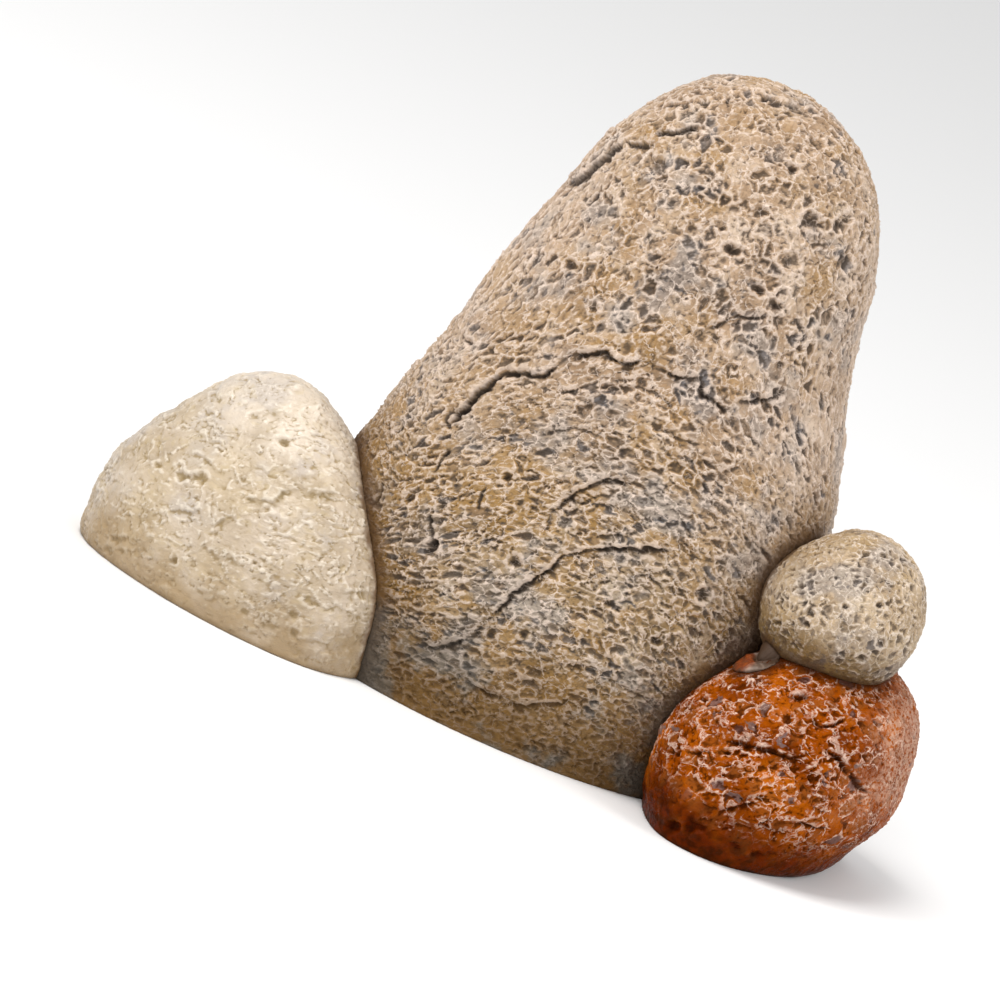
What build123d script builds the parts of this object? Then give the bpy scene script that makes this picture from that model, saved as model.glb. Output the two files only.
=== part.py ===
from build123d import *
import math
import os

# Hide-a-key rock: four bonded cast stones standing on one flat-cut base, with a
# moulded key compartment let into the underside of the tall stone. The compartment
# is closed by a hinged door with a seal and a turn latch.
#
# Frame: millimetres, +Z up, front of the object faces -Y, +X to the right as seen
# from the front. The origin is the centre of the overall footprint, on the plane
# that the stones stand on.

os.makedirs("parts", exist_ok=True)

# ---------------------------------------------------------------- stones
# Each stone is a loft through horizontal sections. A section is an outline in plan,
# given for a square from -1 to 1 and stretched to the section's own four sides. The
# outline goes gradually from the stone's foot outline to its body outline.
# Section: (height, left X, right X, front Y, back Y, share of body outline)


def squircle(n_front, n_back, widest=0.0, count=16):
    """Plan outline, anticlockwise from the right. 2 is an ellipse, larger is boxier."""
    points = []
    for k in range(count):
        t = 2 * math.pi * k / count
        c, s = math.cos(t), math.sin(t)
        n = n_front if s < 0 else n_back
        x = math.copysign(abs(c) ** (2 / n), c)
        y = math.copysign(abs(s) ** (2 / n), s)
        y = widest + y * (1 - widest if y > 0 else 1 + widest)
        points.append((x, y))
    return points


def section(foot, body, left, right, front, back, share):
    """The blended outline, stretched so that it touches all four sides."""
    points = [
        (p[0] + (q[0] - p[0]) * share, p[1] + (q[1] - p[1]) * share)
        for p, q in zip(foot, body)
    ]
    x0, x1 = min(p[0] for p in points), max(p[0] for p in points)
    y0, y1 = min(p[1] for p in points), max(p[1] for p in points)
    return [
        (
            left + (right - left) * (x - x0) / (x1 - x0),
            front + (back - front) * (y - y0) / (y1 - y0),
        )
        for x, y in points
    ]


TALL_FOOT = squircle(2.0, 2.8, 0.12)
TALL_BODY = squircle(2.3, 2.4, 0.0)
TALL_SECTIONS = [
    (0.0, -43.0, 50.0, -31.4, 33.0, 0.0),
    (10.0, -44.0, 51.0, -32.6, 33.6, 0.2),
    (26.0, -43.6, 51.4, -32.8, 33.4, 0.6),
    (44.0, -39.6, 51.0, -31.6, 32.2, 1.0),
    (60.0, -35.0, 49.6, -29.8, 31.0, 1.0),
    (76.0, -30.9, 44.8, -27.6, 29.0, 1.0),
    (91.0, -27.2, 40.6, -25.4, 26.8, 1.0),
    (104.5, -23.1, 38.1, -22.8, 24.4, 1.0),
    (115.5, -18.8, 34.5, -19.4, 21.4, 1.0),
    (123.5, -13.4, 29.4, -15.2, 17.6, 1.0),
    (129.2, -7.0, 23.4, -10.0, 13.0, 1.0),
    (132.4, 0.6, 17.2, -4.8, 8.2, 1.0),
    (133.6, 6.6, 12.6, -0.6, 4.2, 1.0),
]

CREAM_FOOT = [
    (-20.0, -10.0),
    (-21.0, -26.0),
    (-30.0, -33.6),
    (-44.0, -34.5),
    (-58.0, -30.5),
    (-70.5, -23.0),
    (-80.0, -12.5),
    (-82.4, -1.0),
    (-77.5, 8.5),
    (-65.0, 14.5),
    (-48.0, 16.0),
    (-29.0, 11.0),
]
CREAM_BODY = [
    (-20.0, -9.0),
    (-21.5, -24.0),
    (-29.0, -32.0),
    (-43.0, -35.0),
    (-58.0, -31.0),
    (-71.0, -23.0),
    (-80.5, -13.0),
    (-83.0, -2.0),
    (-78.0, 8.0),
    (-65.0, 14.0),
    (-48.0, 15.5),
    (-29.0, 9.0),
]
CREAM_SECTIONS = [
    (0.0, -82.4, -21.4, -34.3, 15.6, 0.0),
    (4.5, -82.9, -20.6, -35.2, 16.2, 0.5),
    (11.0, -82.9, -20.0, -35.0, 16.2, 1.0),
    (18.0, -81.7, -21.4, -33.2, 15.4, 1.0),
    (25.0, -78.2, -26.0, -29.8, 13.4, 1.0),
    (31.5, -73.8, -32.0, -25.4, 10.4, 1.0),
    (37.5, -69.2, -39.6, -20.6, 6.4, 1.0),
    (41.8, -64.6, -46.4, -16.0, 2.0, 1.0),
    (44.3, -60.0, -51.4, -11.8, -2.6, 1.0),
    (44.9, -57.4, -54.0, -9.2, -5.2, 1.0),
]

RUST_FOOT = [
    (77.0, 2.0),
    (74.4, -13.0),
    (69.6, -27.5),
    (62.0, -38.0),
    (52.5, -43.6),
    (43.4, -42.0),
    (38.4, -33.0),
    (36.6, -19.0),
    (40.0, -3.0),
    (50.0, 9.0),
    (62.0, 13.0),
    (72.0, 11.0),
]
RUST_BODY = [
    (82.7, -9.0),
    (81.0, -22.5),
    (75.5, -34.5),
    (66.0, -42.6),
    (54.5, -46.0),
    (43.6, -43.6),
    (36.6, -35.0),
    (35.0, -22.0),
    (38.0, -5.0),
    (48.0, 8.0),
    (62.0, 13.0),
    (76.0, 6.0),
]
RUST_SECTIONS = [
    (0.0, 37.2, 76.6, -43.8, 12.0, 0.0),
    (4.0, 36.2, 78.6, -45.4, 13.0, 0.3),
    (10.0, 35.3, 81.0, -46.2, 13.2, 0.7),
    (16.5, 35.1, 82.6, -45.9, 13.0, 1.0),
    (23.0, 36.6, 82.4, -44.2, 12.0, 1.0),
    (29.0, 40.4, 81.4, -40.8, 10.0, 1.0),
    (34.0, 44.6, 79.4, -36.0, 7.0, 1.0),
    (38.0, 49.2, 76.0, -30.2, 2.4, 1.0),
    (40.8, 55.0, 71.8, -23.4, -4.0, 1.0),
    (41.7, 59.6, 67.4, -17.6, -10.0, 1.0),
]

SMALL_OUTLINE = squircle(2.15, 2.15)
SMALL_SECTIONS = [
    (31.6, 54.0, 59.0, -20.0, -15.0, 1.0),
    (34.0, 49.8, 63.0, -23.6, -12.8, 1.0),
    (36.8, 46.6, 66.6, -26.6, -10.6, 1.0),
    (39.8, 44.3, 69.6, -29.8, -8.2, 1.0),
    (43.8, 42.4, 71.9, -32.6, -6.0, 1.0),
    (49.4, 41.4, 72.9, -33.4, -4.8, 1.0),
    (55.6, 43.8, 71.8, -31.4, -5.4, 1.0),
    (60.6, 48.4, 69.0, -28.0, -7.8, 1.0),
    (63.9, 53.0, 64.8, -23.8, -11.4, 1.0),
    (65.2, 57.2, 61.2, -19.8, -15.4, 1.0),
]

# ---------------------------------------------------------------- compartment
BOX_CX, BOX_CY = 4.0, 2.0          # centre of the key space
KEY_L, KEY_W = 60.0, 27.0          # clear space for keys, along X and Y
KEY_ROOF_Z = 23.5                  # roof of the key space
WALL = 1.6                         # moulded wall

FLANGE_L, FLANGE_R = 72.0, 7.0     # flange length and corner radius
EAR_L, EAR_W, EAR_R = 83.5, 25.0, 5.0  # the flange's widening for the screws
FLANGE_Y0, FLANGE_Y1 = -18.5, 25.5 # front and back edges of the flange
FLANGE_Z0, FLANGE_Z1 = 0.4, 6.0    # its lower and upper faces
GASKET_T = 0.6
SEAT_Z = FLANGE_Z1 + GASKET_T      # ceiling of the recess in the stone
SEAT_GAP = 0.5                     # recess is this much larger all round
POCKET_GAP = 0.6
POCKET_Z = KEY_ROOF_Z + WALL + 0.9 # roof of the pocket in the stone

DOOR_GAP = 0.3
DOOR_HALF_L = 33.0
DOOR_Y0 = -14.7                    # front edge of the door
DOOR_Z0, DOOR_Z1 = 0.8, 3.0        # outer and inner faces of the door
LAND_Z = 3.5                       # face that the door seal closes on

AXIS_Y, AXIS_Z = 20.5, 2.8         # hinge axis, along X
BARREL_R = 2.0
PIN_R = 0.9
PIN_BORE_R = 0.96
PIN_HALF_L = 35.2
TROUGH_R = 2.3                     # clearance round the barrel

GROOVE_W, GROOVE_D = 1.6, 0.8      # seal groove in the door
SEAL_HALF_L, SEAL_Y0, SEAL_Y1 = 31.7, -13.2, 17.0

SCREW_X, SCREW_Y = 36.9, 7.0       # screw places from the flange centre
SCREW_R, SCREW_LEN = 1.4, 13.0
SCREW_HOLE_R = 1.7                 # hole in the flange
SINK_R, SINK_DEPTH = 2.9, 1.5      # countersink at the flange's face
HEAD_DROP = 0.15                   # the head lies this much below the face
PILOT_R = 1.5                      # hole in the stone

NOTCH_R, NOTCH_Z = 8.0, 4.7        # finger notch at the door's front edge
NOTCH_BITE = 0.55                  # it reaches this far over the door

LATCH_Y = BOX_CY - 8.6             # turn latch: its axis is parallel to Z
HUB_R, HUB_HOLE_R = 3.05, 3.10
HEAD_R, HEAD_SINK_R, HEAD_Z = 4.6, 4.95, 1.8
BOSS_R, BOSS_Z = 4.4, 4.6          # raised ring round the hub on the door's inner face
CAM_Z0, CAM_Z1 = 4.7, 5.8
CAM_REACH, CAM_TIP_R = 3.4, 2.5
KEEPER_Z0, KEEPER_Z1 = 4.5, 6.0    # slot in the front wall that the cam turns into

FLANGE_CY = (FLANGE_Y0 + FLANGE_Y1) / 2
FLANGE_W = FLANGE_Y1 - FLANGE_Y0


# ---------------------------------------------------------------- whole stones
with BuildPart() as tall_form:
    for z, left, right, front, back, share in TALL_SECTIONS:
        with BuildSketch(Plane.XY.offset(z)):
            with BuildLine():
                Spline(
                    *section(TALL_FOOT, TALL_BODY, left, right, front, back, share),
                    periodic=True,
                )
            make_face()
    loft()

with BuildPart() as rust_form:
    for z, left, right, front, back, share in RUST_SECTIONS:
        with BuildSketch(Plane.XY.offset(z)):
            with BuildLine():
                Spline(
                    *section(RUST_FOOT, RUST_BODY, left, right, front, back, share),
                    periodic=True,
                )
            make_face()
    loft()

with BuildPart() as small_form:
    for z, left, right, front, back, share in SMALL_SECTIONS:
        with BuildSketch(Plane.XY.offset(z)):
            with BuildLine():
                Spline(
                    *section(SMALL_OUTLINE, SMALL_OUTLINE, left, right, front, back, share),
                    periodic=True,
                )
            make_face()
    loft()

# Tall tan stone: a solid casting with a stepped pocket in its base. The shallow step
# takes the flange and gasket, the deep one the body of the key box.
with BuildPart() as main_rock:
    add(tall_form.part)
    with BuildSketch(Plane.XY):
        with Locations((BOX_CX, FLANGE_CY)):
            RectangleRounded(
                FLANGE_L + 2 * SEAT_GAP, FLANGE_W + 2 * SEAT_GAP, FLANGE_R + SEAT_GAP
            )
            RectangleRounded(
                EAR_L + 2 * SEAT_GAP, EAR_W + 2 * SEAT_GAP, EAR_R + SEAT_GAP
            )
    extrude(amount=SEAT_Z, mode=Mode.SUBTRACT)
    with BuildSketch(Plane.XY):
        with Locations((BOX_CX, BOX_CY)):
            RectangleRounded(
                KEY_L + 2 * (WALL + POCKET_GAP), KEY_W + 2 * (WALL + POCKET_GAP), 4.0
            )
    extrude(amount=POCKET_Z, mode=Mode.SUBTRACT)
    # finger scoop in front of the door
    with BuildSketch(Plane.XY):
        with Locations((BOX_CX, DOOR_Y0)):
            Circle(NOTCH_R)
    extrude(amount=NOTCH_Z, mode=Mode.SUBTRACT)
    # pilot holes for the four screws
    with Locations(Plane.XY.offset(SEAT_Z)):
        with Locations((BOX_CX, FLANGE_CY)):
            with GridLocations(2 * SCREW_X, 2 * SCREW_Y, 2, 2):
                Cylinder(
                    PILOT_R,
                    SCREW_LEN - SEAT_Z + 1.6,
                    align=(Align.CENTER, Align.CENTER, Align.MIN),
                    mode=Mode.SUBTRACT,
                )
main_rock.part.label = "main_rock"

# Cream stone: bedded against the tall stone's left flank.
with BuildPart() as cream_rock:
    for z, left, right, front, back, share in CREAM_SECTIONS:
        with BuildSketch(Plane.XY.offset(z)):
            with BuildLine():
                Spline(
                    *section(CREAM_FOOT, CREAM_BODY, left, right, front, back, share),
                    periodic=True,
                )
            make_face()
    loft()
    add(tall_form.part, mode=Mode.SUBTRACT)
cream_rock.part.label = "cream_rock"

# Rust-coloured stone: bedded against the right flank, in front.
with BuildPart() as rust_rock:
    add(rust_form.part)
    add(tall_form.part, mode=Mode.SUBTRACT)
rust_rock.part.label = "rust_rock"

# Small tan stone: rests on the rust stone, against the tall stone.
with BuildPart() as small_tan_rock:
    add(small_form.part)
    add(tall_form.part, mode=Mode.SUBTRACT)
    add(rust_form.part, mode=Mode.SUBTRACT)
small_tan_rock.part.label = "small_tan_rock"

# Mortar that fills the hollow where the three right-hand stones meet.
with BuildPart() as mortar_web:
    with Locations((46.6, -25.2, 34.4)):
        Sphere(4.8)
    add(tall_form.part, mode=Mode.SUBTRACT)
    add(rust_form.part, mode=Mode.SUBTRACT)
    add(small_form.part, mode=Mode.SUBTRACT)
mortar_web.part.label = "mortar_web"

# ---------------------------------------------------------------- key box
# One moulding: flange with a recess for the door, hinge ears, and the box above it.
with BuildPart() as key_box:
    with BuildSketch(Plane.XY.offset(FLANGE_Z0)):
        with Locations((BOX_CX, FLANGE_CY)):
            RectangleRounded(FLANGE_L, FLANGE_W, FLANGE_R)
            RectangleRounded(EAR_L, EAR_W, EAR_R)
    extrude(amount=FLANGE_Z1 - FLANGE_Z0)
    with BuildSketch(Plane.XY.offset(FLANGE_Z1)):
        with Locations((BOX_CX, BOX_CY)):
            RectangleRounded(KEY_L + 2 * WALL, KEY_W + 2 * WALL, 3.4)
    extrude(amount=KEY_ROOF_Z + WALL - FLANGE_Z1)
    fillet(key_box.faces().sort_by(Axis.Z)[-1].edges(), 1.2)
    # recess that the door lies in, from the front gap to the hinge trough
    with BuildSketch(Plane.XY.offset(FLANGE_Z0)):
        with Locations((BOX_CX, (DOOR_Y0 - DOOR_GAP + AXIS_Y) / 2)):
            Rectangle(2 * (DOOR_HALF_L + DOOR_GAP), AXIS_Y - DOOR_Y0 + DOOR_GAP)
    extrude(amount=LAND_Z - FLANGE_Z0, mode=Mode.SUBTRACT)
    # hinge trough: round about the axis, open downwards and bevelled at the back
    with BuildSketch(Plane.YZ.offset(BOX_CX - DOOR_HALF_L - DOOR_GAP)):
        with Locations((AXIS_Y, AXIS_Z)):
            Circle(TROUGH_R)
        with BuildLine():
            Polyline(
                (AXIS_Y - TROUGH_R, AXIS_Z),
                (AXIS_Y - TROUGH_R, FLANGE_Z0 - 1.0),
                (AXIS_Y + TROUGH_R + 1.0, FLANGE_Z0 - 1.0),
                (AXIS_Y + TROUGH_R, AXIS_Z),
                close=True,
            )
        make_face()
    extrude(amount=2 * (DOOR_HALF_L + DOOR_GAP), mode=Mode.SUBTRACT)
    # key space
    with BuildSketch(Plane.XY.offset(FLANGE_Z0)):
        with Locations((BOX_CX, BOX_CY)):
            RectangleRounded(KEY_L, KEY_W, 2.0)
    extrude(amount=KEY_ROOF_Z - FLANGE_Z0, mode=Mode.SUBTRACT)
    # bore for the hinge pin, right through both end walls of the flange
    with BuildSketch(Plane.YZ.offset(BOX_CX - FLANGE_L / 2)):
        with Locations((AXIS_Y, AXIS_Z)):
            Circle(PIN_R + 0.01)
    extrude(amount=FLANGE_L, mode=Mode.SUBTRACT)
    # finger notch in the front border
    with BuildSketch(Plane.XY.offset(FLANGE_Z0)):
        with Locations((BOX_CX, DOOR_Y0)):
            Circle(NOTCH_R)
        with Locations((BOX_CX, DOOR_Y0 + NOTCH_BITE + NOTCH_R)):
            Rectangle(2 * NOTCH_R + 1, 2 * NOTCH_R, mode=Mode.SUBTRACT)
    extrude(amount=NOTCH_Z - FLANGE_Z0, mode=Mode.SUBTRACT)
    # keeper slot that the latch cam turns into
    with BuildSketch(Plane.XY.offset(KEEPER_Z0)):
        with Locations((BOX_CX, BOX_CY - KEY_W / 2)):
            Rectangle(8.4, 3.0)
    extrude(amount=KEEPER_Z1 - KEEPER_Z0, mode=Mode.SUBTRACT)
    # four countersunk screw holes
    with Locations(Plane.XY.offset(FLANGE_Z0)):
        with Locations((BOX_CX, FLANGE_CY)):
            with GridLocations(2 * SCREW_X, 2 * SCREW_Y, 2, 2):
                Cone(
                    SINK_R,
                    SCREW_HOLE_R,
                    SINK_DEPTH,
                    align=(Align.CENTER, Align.CENTER, Align.MIN),
                    mode=Mode.SUBTRACT,
                )
                Cylinder(
                    SCREW_HOLE_R,
                    FLANGE_Z1 - FLANGE_Z0,
                    align=(Align.CENTER, Align.CENTER, Align.MIN),
                    mode=Mode.SUBTRACT,
                )
key_box.part.label = "key_box"

# Flat rubber gasket between the flange and the stone.
with BuildPart() as box_gasket:
    with BuildSketch(Plane.XY.offset(FLANGE_Z1)):
        with Locations((BOX_CX, FLANGE_CY)):
            RectangleRounded(FLANGE_L - 0.6, FLANGE_W - 0.6, FLANGE_R - 0.3)
            RectangleRounded(EAR_L - 0.6, EAR_W - 0.6, EAR_R - 0.3)
            with GridLocations(2 * SCREW_X, 2 * SCREW_Y, 2, 2):
                Circle(SCREW_HOLE_R, mode=Mode.SUBTRACT)
        with Locations((BOX_CX, BOX_CY)):
            RectangleRounded(
                KEY_L + 2 * WALL + 0.6, KEY_W + 2 * WALL + 0.6, 3.7, mode=Mode.SUBTRACT
            )
    extrude(amount=GASKET_T)
box_gasket.part.label = "box_gasket"

# Four countersunk self-tapping screws, cross recess in each head.
HEAD_Z0 = FLANGE_Z0 + HEAD_DROP
HEAD_EDGE_R = SINK_R - (SINK_R - SCREW_HOLE_R) * HEAD_DROP / SINK_DEPTH - 0.01
with BuildPart() as box_screws:
    with Locations(Plane.XY.offset(HEAD_Z0)):
        with Locations((BOX_CX, FLANGE_CY)):
            with GridLocations(2 * SCREW_X, 2 * SCREW_Y, 2, 2):
                Cone(
                    HEAD_EDGE_R,
                    SCREW_HOLE_R - 0.01,
                    SINK_DEPTH - HEAD_DROP,
                    align=(Align.CENTER, Align.CENTER, Align.MIN),
                )
                Cylinder(
                    SCREW_R,
                    SCREW_LEN - 2.0,
                    align=(Align.CENTER, Align.CENTER, Align.MIN),
                )
    with Locations(Plane.XY.offset(HEAD_Z0 + SCREW_LEN - 2.0)):
        with Locations((BOX_CX, FLANGE_CY)):
            with GridLocations(2 * SCREW_X, 2 * SCREW_Y, 2, 2):
                Cone(
                    SCREW_R,
                    0.3,
                    2.0,
                    align=(Align.CENTER, Align.CENTER, Align.MIN),
                )
    with Locations(Plane.XY.offset(HEAD_Z0)):
        with Locations((BOX_CX, FLANGE_CY)):
            with GridLocations(2 * SCREW_X, 2 * SCREW_Y, 2, 2):
                Box(
                    3.0,
                    0.6,
                    1.0,
                    align=(Align.CENTER, Align.CENTER, Align.MIN),
                    mode=Mode.SUBTRACT,
                )
                Box(
                    0.6,
                    3.0,
                    1.0,
                    align=(Align.CENTER, Align.CENTER, Align.MIN),
                    mode=Mode.SUBTRACT,
                )
box_screws.part.label = "box_screws"

# Foam pad glued to the roof of the key space, so that keys don't rattle.
with BuildPart() as foam_pad:
    with BuildSketch(Plane.XY.offset(KEY_ROOF_Z)):
        with Locations((BOX_CX, BOX_CY)):
            RectangleRounded(KEY_L - 1.0, KEY_W - 1.0, 2.0)
    extrude(amount=-3.0)
foam_pad.part.label = "foam_pad"

# ---------------------------------------------------------------- door
with BuildPart() as door:
    # leaf
    with BuildSketch(Plane.XY.offset(DOOR_Z0)):
        with Locations((BOX_CX, (DOOR_Y0 + AXIS_Y) / 2)):
            Rectangle(2 * DOOR_HALF_L, AXIS_Y - DOOR_Y0)
    extrude(amount=DOOR_Z1 - DOOR_Z0)
    front_corners = (
        door.edges().filter_by(Axis.Z).group_by(Axis.Y)[0]
    )
    fillet(front_corners, 1.2)
    # barrel round the hinge pin
    with BuildSketch(Plane.YZ.offset(BOX_CX - DOOR_HALF_L)):
        with Locations((AXIS_Y, AXIS_Z)):
            Circle(BARREL_R)
    extrude(amount=2 * DOOR_HALF_L)
    with BuildSketch(Plane.YZ.offset(BOX_CX - DOOR_HALF_L)):
        with Locations((AXIS_Y, AXIS_Z)):
            Circle(PIN_BORE_R)
    extrude(amount=2 * DOOR_HALF_L, mode=Mode.SUBTRACT)
    # groove for the seal, in the inner face
    with BuildSketch(Plane.XY.offset(DOOR_Z1)):
        with Locations((BOX_CX, (SEAL_Y0 + SEAL_Y1) / 2)):
            RectangleRounded(
                2 * SEAL_HALF_L + GROOVE_W, SEAL_Y1 - SEAL_Y0 + GROOVE_W, 2.4
            )
            RectangleRounded(
                2 * SEAL_HALF_L - GROOVE_W,
                SEAL_Y1 - SEAL_Y0 - GROOVE_W,
                0.8,
                mode=Mode.SUBTRACT,
            )
    extrude(amount=-GROOVE_D, mode=Mode.SUBTRACT)
    # raised ring, hole and sunk seat for the turn latch
    with Locations(Plane.XY.offset(DOOR_Z1)):
        with Locations((BOX_CX, LATCH_Y)):
            Cylinder(
                BOSS_R,
                BOSS_Z - DOOR_Z1,
                align=(Align.CENTER, Align.CENTER, Align.MIN),
            )
    with Locations(Plane.XY.offset(DOOR_Z0)):
        with Locations((BOX_CX, LATCH_Y)):
            Cylinder(
                HUB_HOLE_R,
                BOSS_Z - DOOR_Z0,
                align=(Align.CENTER, Align.CENTER, Align.MIN),
                mode=Mode.SUBTRACT,
            )
            Cylinder(
                HEAD_SINK_R,
                HEAD_Z - DOOR_Z0,
                align=(Align.CENTER, Align.CENTER, Align.MIN),
                mode=Mode.SUBTRACT,
            )
    # stiffening ribs across the inner face
    with BuildSketch(Plane.XY.offset(DOOR_Z1)):
        with Locations((BOX_CX, BOX_CY + 1.5)):
            with GridLocations(40.0, 0, 2, 1):
                SlotOverall(21.0, 1.2, rotation=90)
    extrude(amount=1.2)
door.part.label = "door"

# Rubber seal, lying in the door's groove.
with BuildPart() as door_seal:
    with BuildSketch(Plane.XY.offset(DOOR_Z1 - GROOVE_D)):
        with Locations((BOX_CX, (SEAL_Y0 + SEAL_Y1) / 2)):
            RectangleRounded(
                2 * SEAL_HALF_L + GROOVE_W - 0.1,
                SEAL_Y1 - SEAL_Y0 + GROOVE_W - 0.1,
                2.35,
            )
            RectangleRounded(
                2 * SEAL_HALF_L - GROOVE_W + 0.1,
                SEAL_Y1 - SEAL_Y0 - GROOVE_W + 0.1,
                0.85,
                mode=Mode.SUBTRACT,
            )
    extrude(amount=LAND_Z - 0.05 - (DOOR_Z1 - GROOVE_D))
door_seal.part.label = "door_seal"

# Turn latch: a coin-slotted knob through the door, a cam on its inner end and the
# screw that holds the cam. The cam points along the door at rest and turns a quarter
# round, into the keeper slot, to lock.
with BuildPart() as latch_knob:
    with Locations(Plane.XY.offset(DOOR_Z0 + 0.1)):
        with Locations((BOX_CX, LATCH_Y)):
            Cylinder(
                HEAD_R,
                HEAD_Z - 0.05 - (DOOR_Z0 + 0.1),
                align=(Align.CENTER, Align.CENTER, Align.MIN),
            )
            Cylinder(
                HUB_R,
                CAM_Z0 - (DOOR_Z0 + 0.1),
                align=(Align.CENTER, Align.CENTER, Align.MIN),
            )
    with BuildSketch(Plane.XY.offset(CAM_Z0)):
        with Locations((BOX_CX, LATCH_Y)):
            Rectangle(3.0, 3.0)
    extrude(amount=CAM_Z1 - CAM_Z0 - 0.1)
    with BuildSketch(Plane.XY.offset(DOOR_Z0 + 0.1)):
        with Locations((BOX_CX, LATCH_Y)):
            SlotOverall(7.6, 1.2)
    extrude(amount=0.65, mode=Mode.SUBTRACT)
    with BuildSketch(Plane.XY.offset(2.3)):
        with Locations((BOX_CX, LATCH_Y)):
            Circle(0.95)
    extrude(amount=CAM_Z1 - 2.3, mode=Mode.SUBTRACT)
latch_knob.part.label = "latch_knob"

with BuildPart() as latch_cam:
    with BuildSketch(Plane.XY.offset(CAM_Z0)):
        with Locations((BOX_CX, LATCH_Y)):
            Circle(3.6)
        with Locations((BOX_CX + CAM_REACH / 2, LATCH_Y)):
            Rectangle(CAM_REACH, 2 * CAM_TIP_R)
        with Locations((BOX_CX + CAM_REACH, LATCH_Y)):
            Circle(CAM_TIP_R)
        with Locations((BOX_CX, LATCH_Y)):
            Rectangle(3.04, 3.04, mode=Mode.SUBTRACT)
    extrude(amount=CAM_Z1 - CAM_Z0)
latch_cam.part.label = "latch_cam"

with BuildPart() as latch_screw:
    with Locations(Plane.XY.offset(2.5)):
        with Locations((BOX_CX, LATCH_Y)):
            Cylinder(
                0.93,
                CAM_Z1 - 2.5,
                align=(Align.CENTER, Align.CENTER, Align.MIN),
            )
    with Locations(Plane.XY.offset(CAM_Z1)):
        with Locations((BOX_CX, LATCH_Y)):
            Cylinder(
                2.2,
                1.1,
                align=(Align.CENTER, Align.CENTER, Align.MIN),
            )
    fillet(latch_screw.faces().sort_by(Axis.Z)[-1].edges(), 0.4)
    with Locations(Plane.XY.offset(CAM_Z1 + 1.1)):
        with Locations((BOX_CX, LATCH_Y)):
            Box(
                2.4,
                0.45,
                0.6,
                align=(Align.CENTER, Align.CENTER, Align.MAX),
                mode=Mode.SUBTRACT,
            )
            Box(
                0.45,
                2.4,
                0.6,
                align=(Align.CENTER, Align.CENTER, Align.MAX),
                mode=Mode.SUBTRACT,
            )
latch_screw.part.label = "latch_screw"

# Steel hinge pin, held in the flange.
with BuildPart() as hinge_pin:
    with BuildSketch(Plane.YZ.offset(BOX_CX - PIN_HALF_L)):
        with Locations((AXIS_Y, AXIS_Z)):
            Circle(PIN_R)
    extrude(amount=2 * PIN_HALF_L)
    chamfer(hinge_pin.edges().filter_by(GeomType.CIRCLE), 0.2)
hinge_pin.part.label = "hinge_pin"

# ---------------------------------------------------------------- write
# The stones were drawn about the tall stone's middle. The whole object is moved so
# that the origin is under the centre of its footprint.
CENTRE_X, CENTRE_Y = 0.19, 6.28

for piece in (
    main_rock,
    cream_rock,
    rust_rock,
    small_tan_rock,
    mortar_web,
    key_box,
    box_gasket,
    box_screws,
    foam_pad,
    hinge_pin,
    door,
    door_seal,
    latch_knob,
    latch_cam,
    latch_screw,
):
    placed = piece.part.moved(Location((CENTRE_X, CENTRE_Y, 0)))
    placed.label = piece.part.label
    export_step(placed, f"parts/{placed.label}.step")
    box = placed.bounding_box()
    print(
        placed.label,
        "volume",
        round(placed.volume),
        "from",
        tuple(round(v, 2) for v in box.min),
        "to",
        tuple(round(v, 2) for v in box.max),
    )
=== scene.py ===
import math

import bpy
import numpy as np
from mathutils import Matrix, Vector


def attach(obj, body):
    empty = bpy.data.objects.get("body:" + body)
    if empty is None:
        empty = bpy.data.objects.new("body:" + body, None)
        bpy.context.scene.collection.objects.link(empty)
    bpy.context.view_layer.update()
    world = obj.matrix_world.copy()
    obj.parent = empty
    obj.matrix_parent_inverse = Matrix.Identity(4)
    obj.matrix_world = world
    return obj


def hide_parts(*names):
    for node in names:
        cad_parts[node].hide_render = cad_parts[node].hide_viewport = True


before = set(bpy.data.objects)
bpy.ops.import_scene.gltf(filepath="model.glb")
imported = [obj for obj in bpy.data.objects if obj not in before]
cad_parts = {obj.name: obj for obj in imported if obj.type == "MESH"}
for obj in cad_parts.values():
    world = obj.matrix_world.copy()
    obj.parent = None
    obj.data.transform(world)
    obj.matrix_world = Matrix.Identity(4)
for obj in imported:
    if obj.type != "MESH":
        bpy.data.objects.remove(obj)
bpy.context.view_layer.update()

VOXEL = 0.00034

# ------------------------------------------------------------------ camera
# The picture is the straightened view rolled by 24 degrees. Features are placed on the
# stones in the straightened view's own pixels, 0.1925 mm each at the target.
ELEV = math.radians(12.0)
ROLL = math.radians(24.0)
DIST = 1.8
PIXEL = 0.0001925
TARGET = np.array([-0.01071, 0.00628, 0.0379])
FORWARD = np.array([0.0, math.cos(ELEV), -math.sin(ELEV)])
RIGHT = np.array([1.0, 0.0, 0.0])
UP = np.array([0.0, math.sin(ELEV), math.cos(ELEV)])


def on_picture(co):
    """Straightened-view pixels of points in metres."""
    d = co - TARGET
    k = DIST / (DIST + d @ FORWARD) / PIXEL
    return np.stack([661.0 + (d @ RIGHT) * k, 661.0 - (d @ UP) * k], 1)


# ------------------------------------------------------------------ small helpers
def srgb(r, g, b):
    def f(c):
        c /= 255.0
        return c / 12.92 if c <= 0.04045 else ((c + 0.055) / 1.055) ** 2.4

    return (f(r), f(g), f(b), 1.0)


def smooth(x, lo, hi):
    t = np.clip((x - lo) / (hi - lo), 0.0, 1.0)
    return t * t * (3.0 - 2.0 * t)


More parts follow.
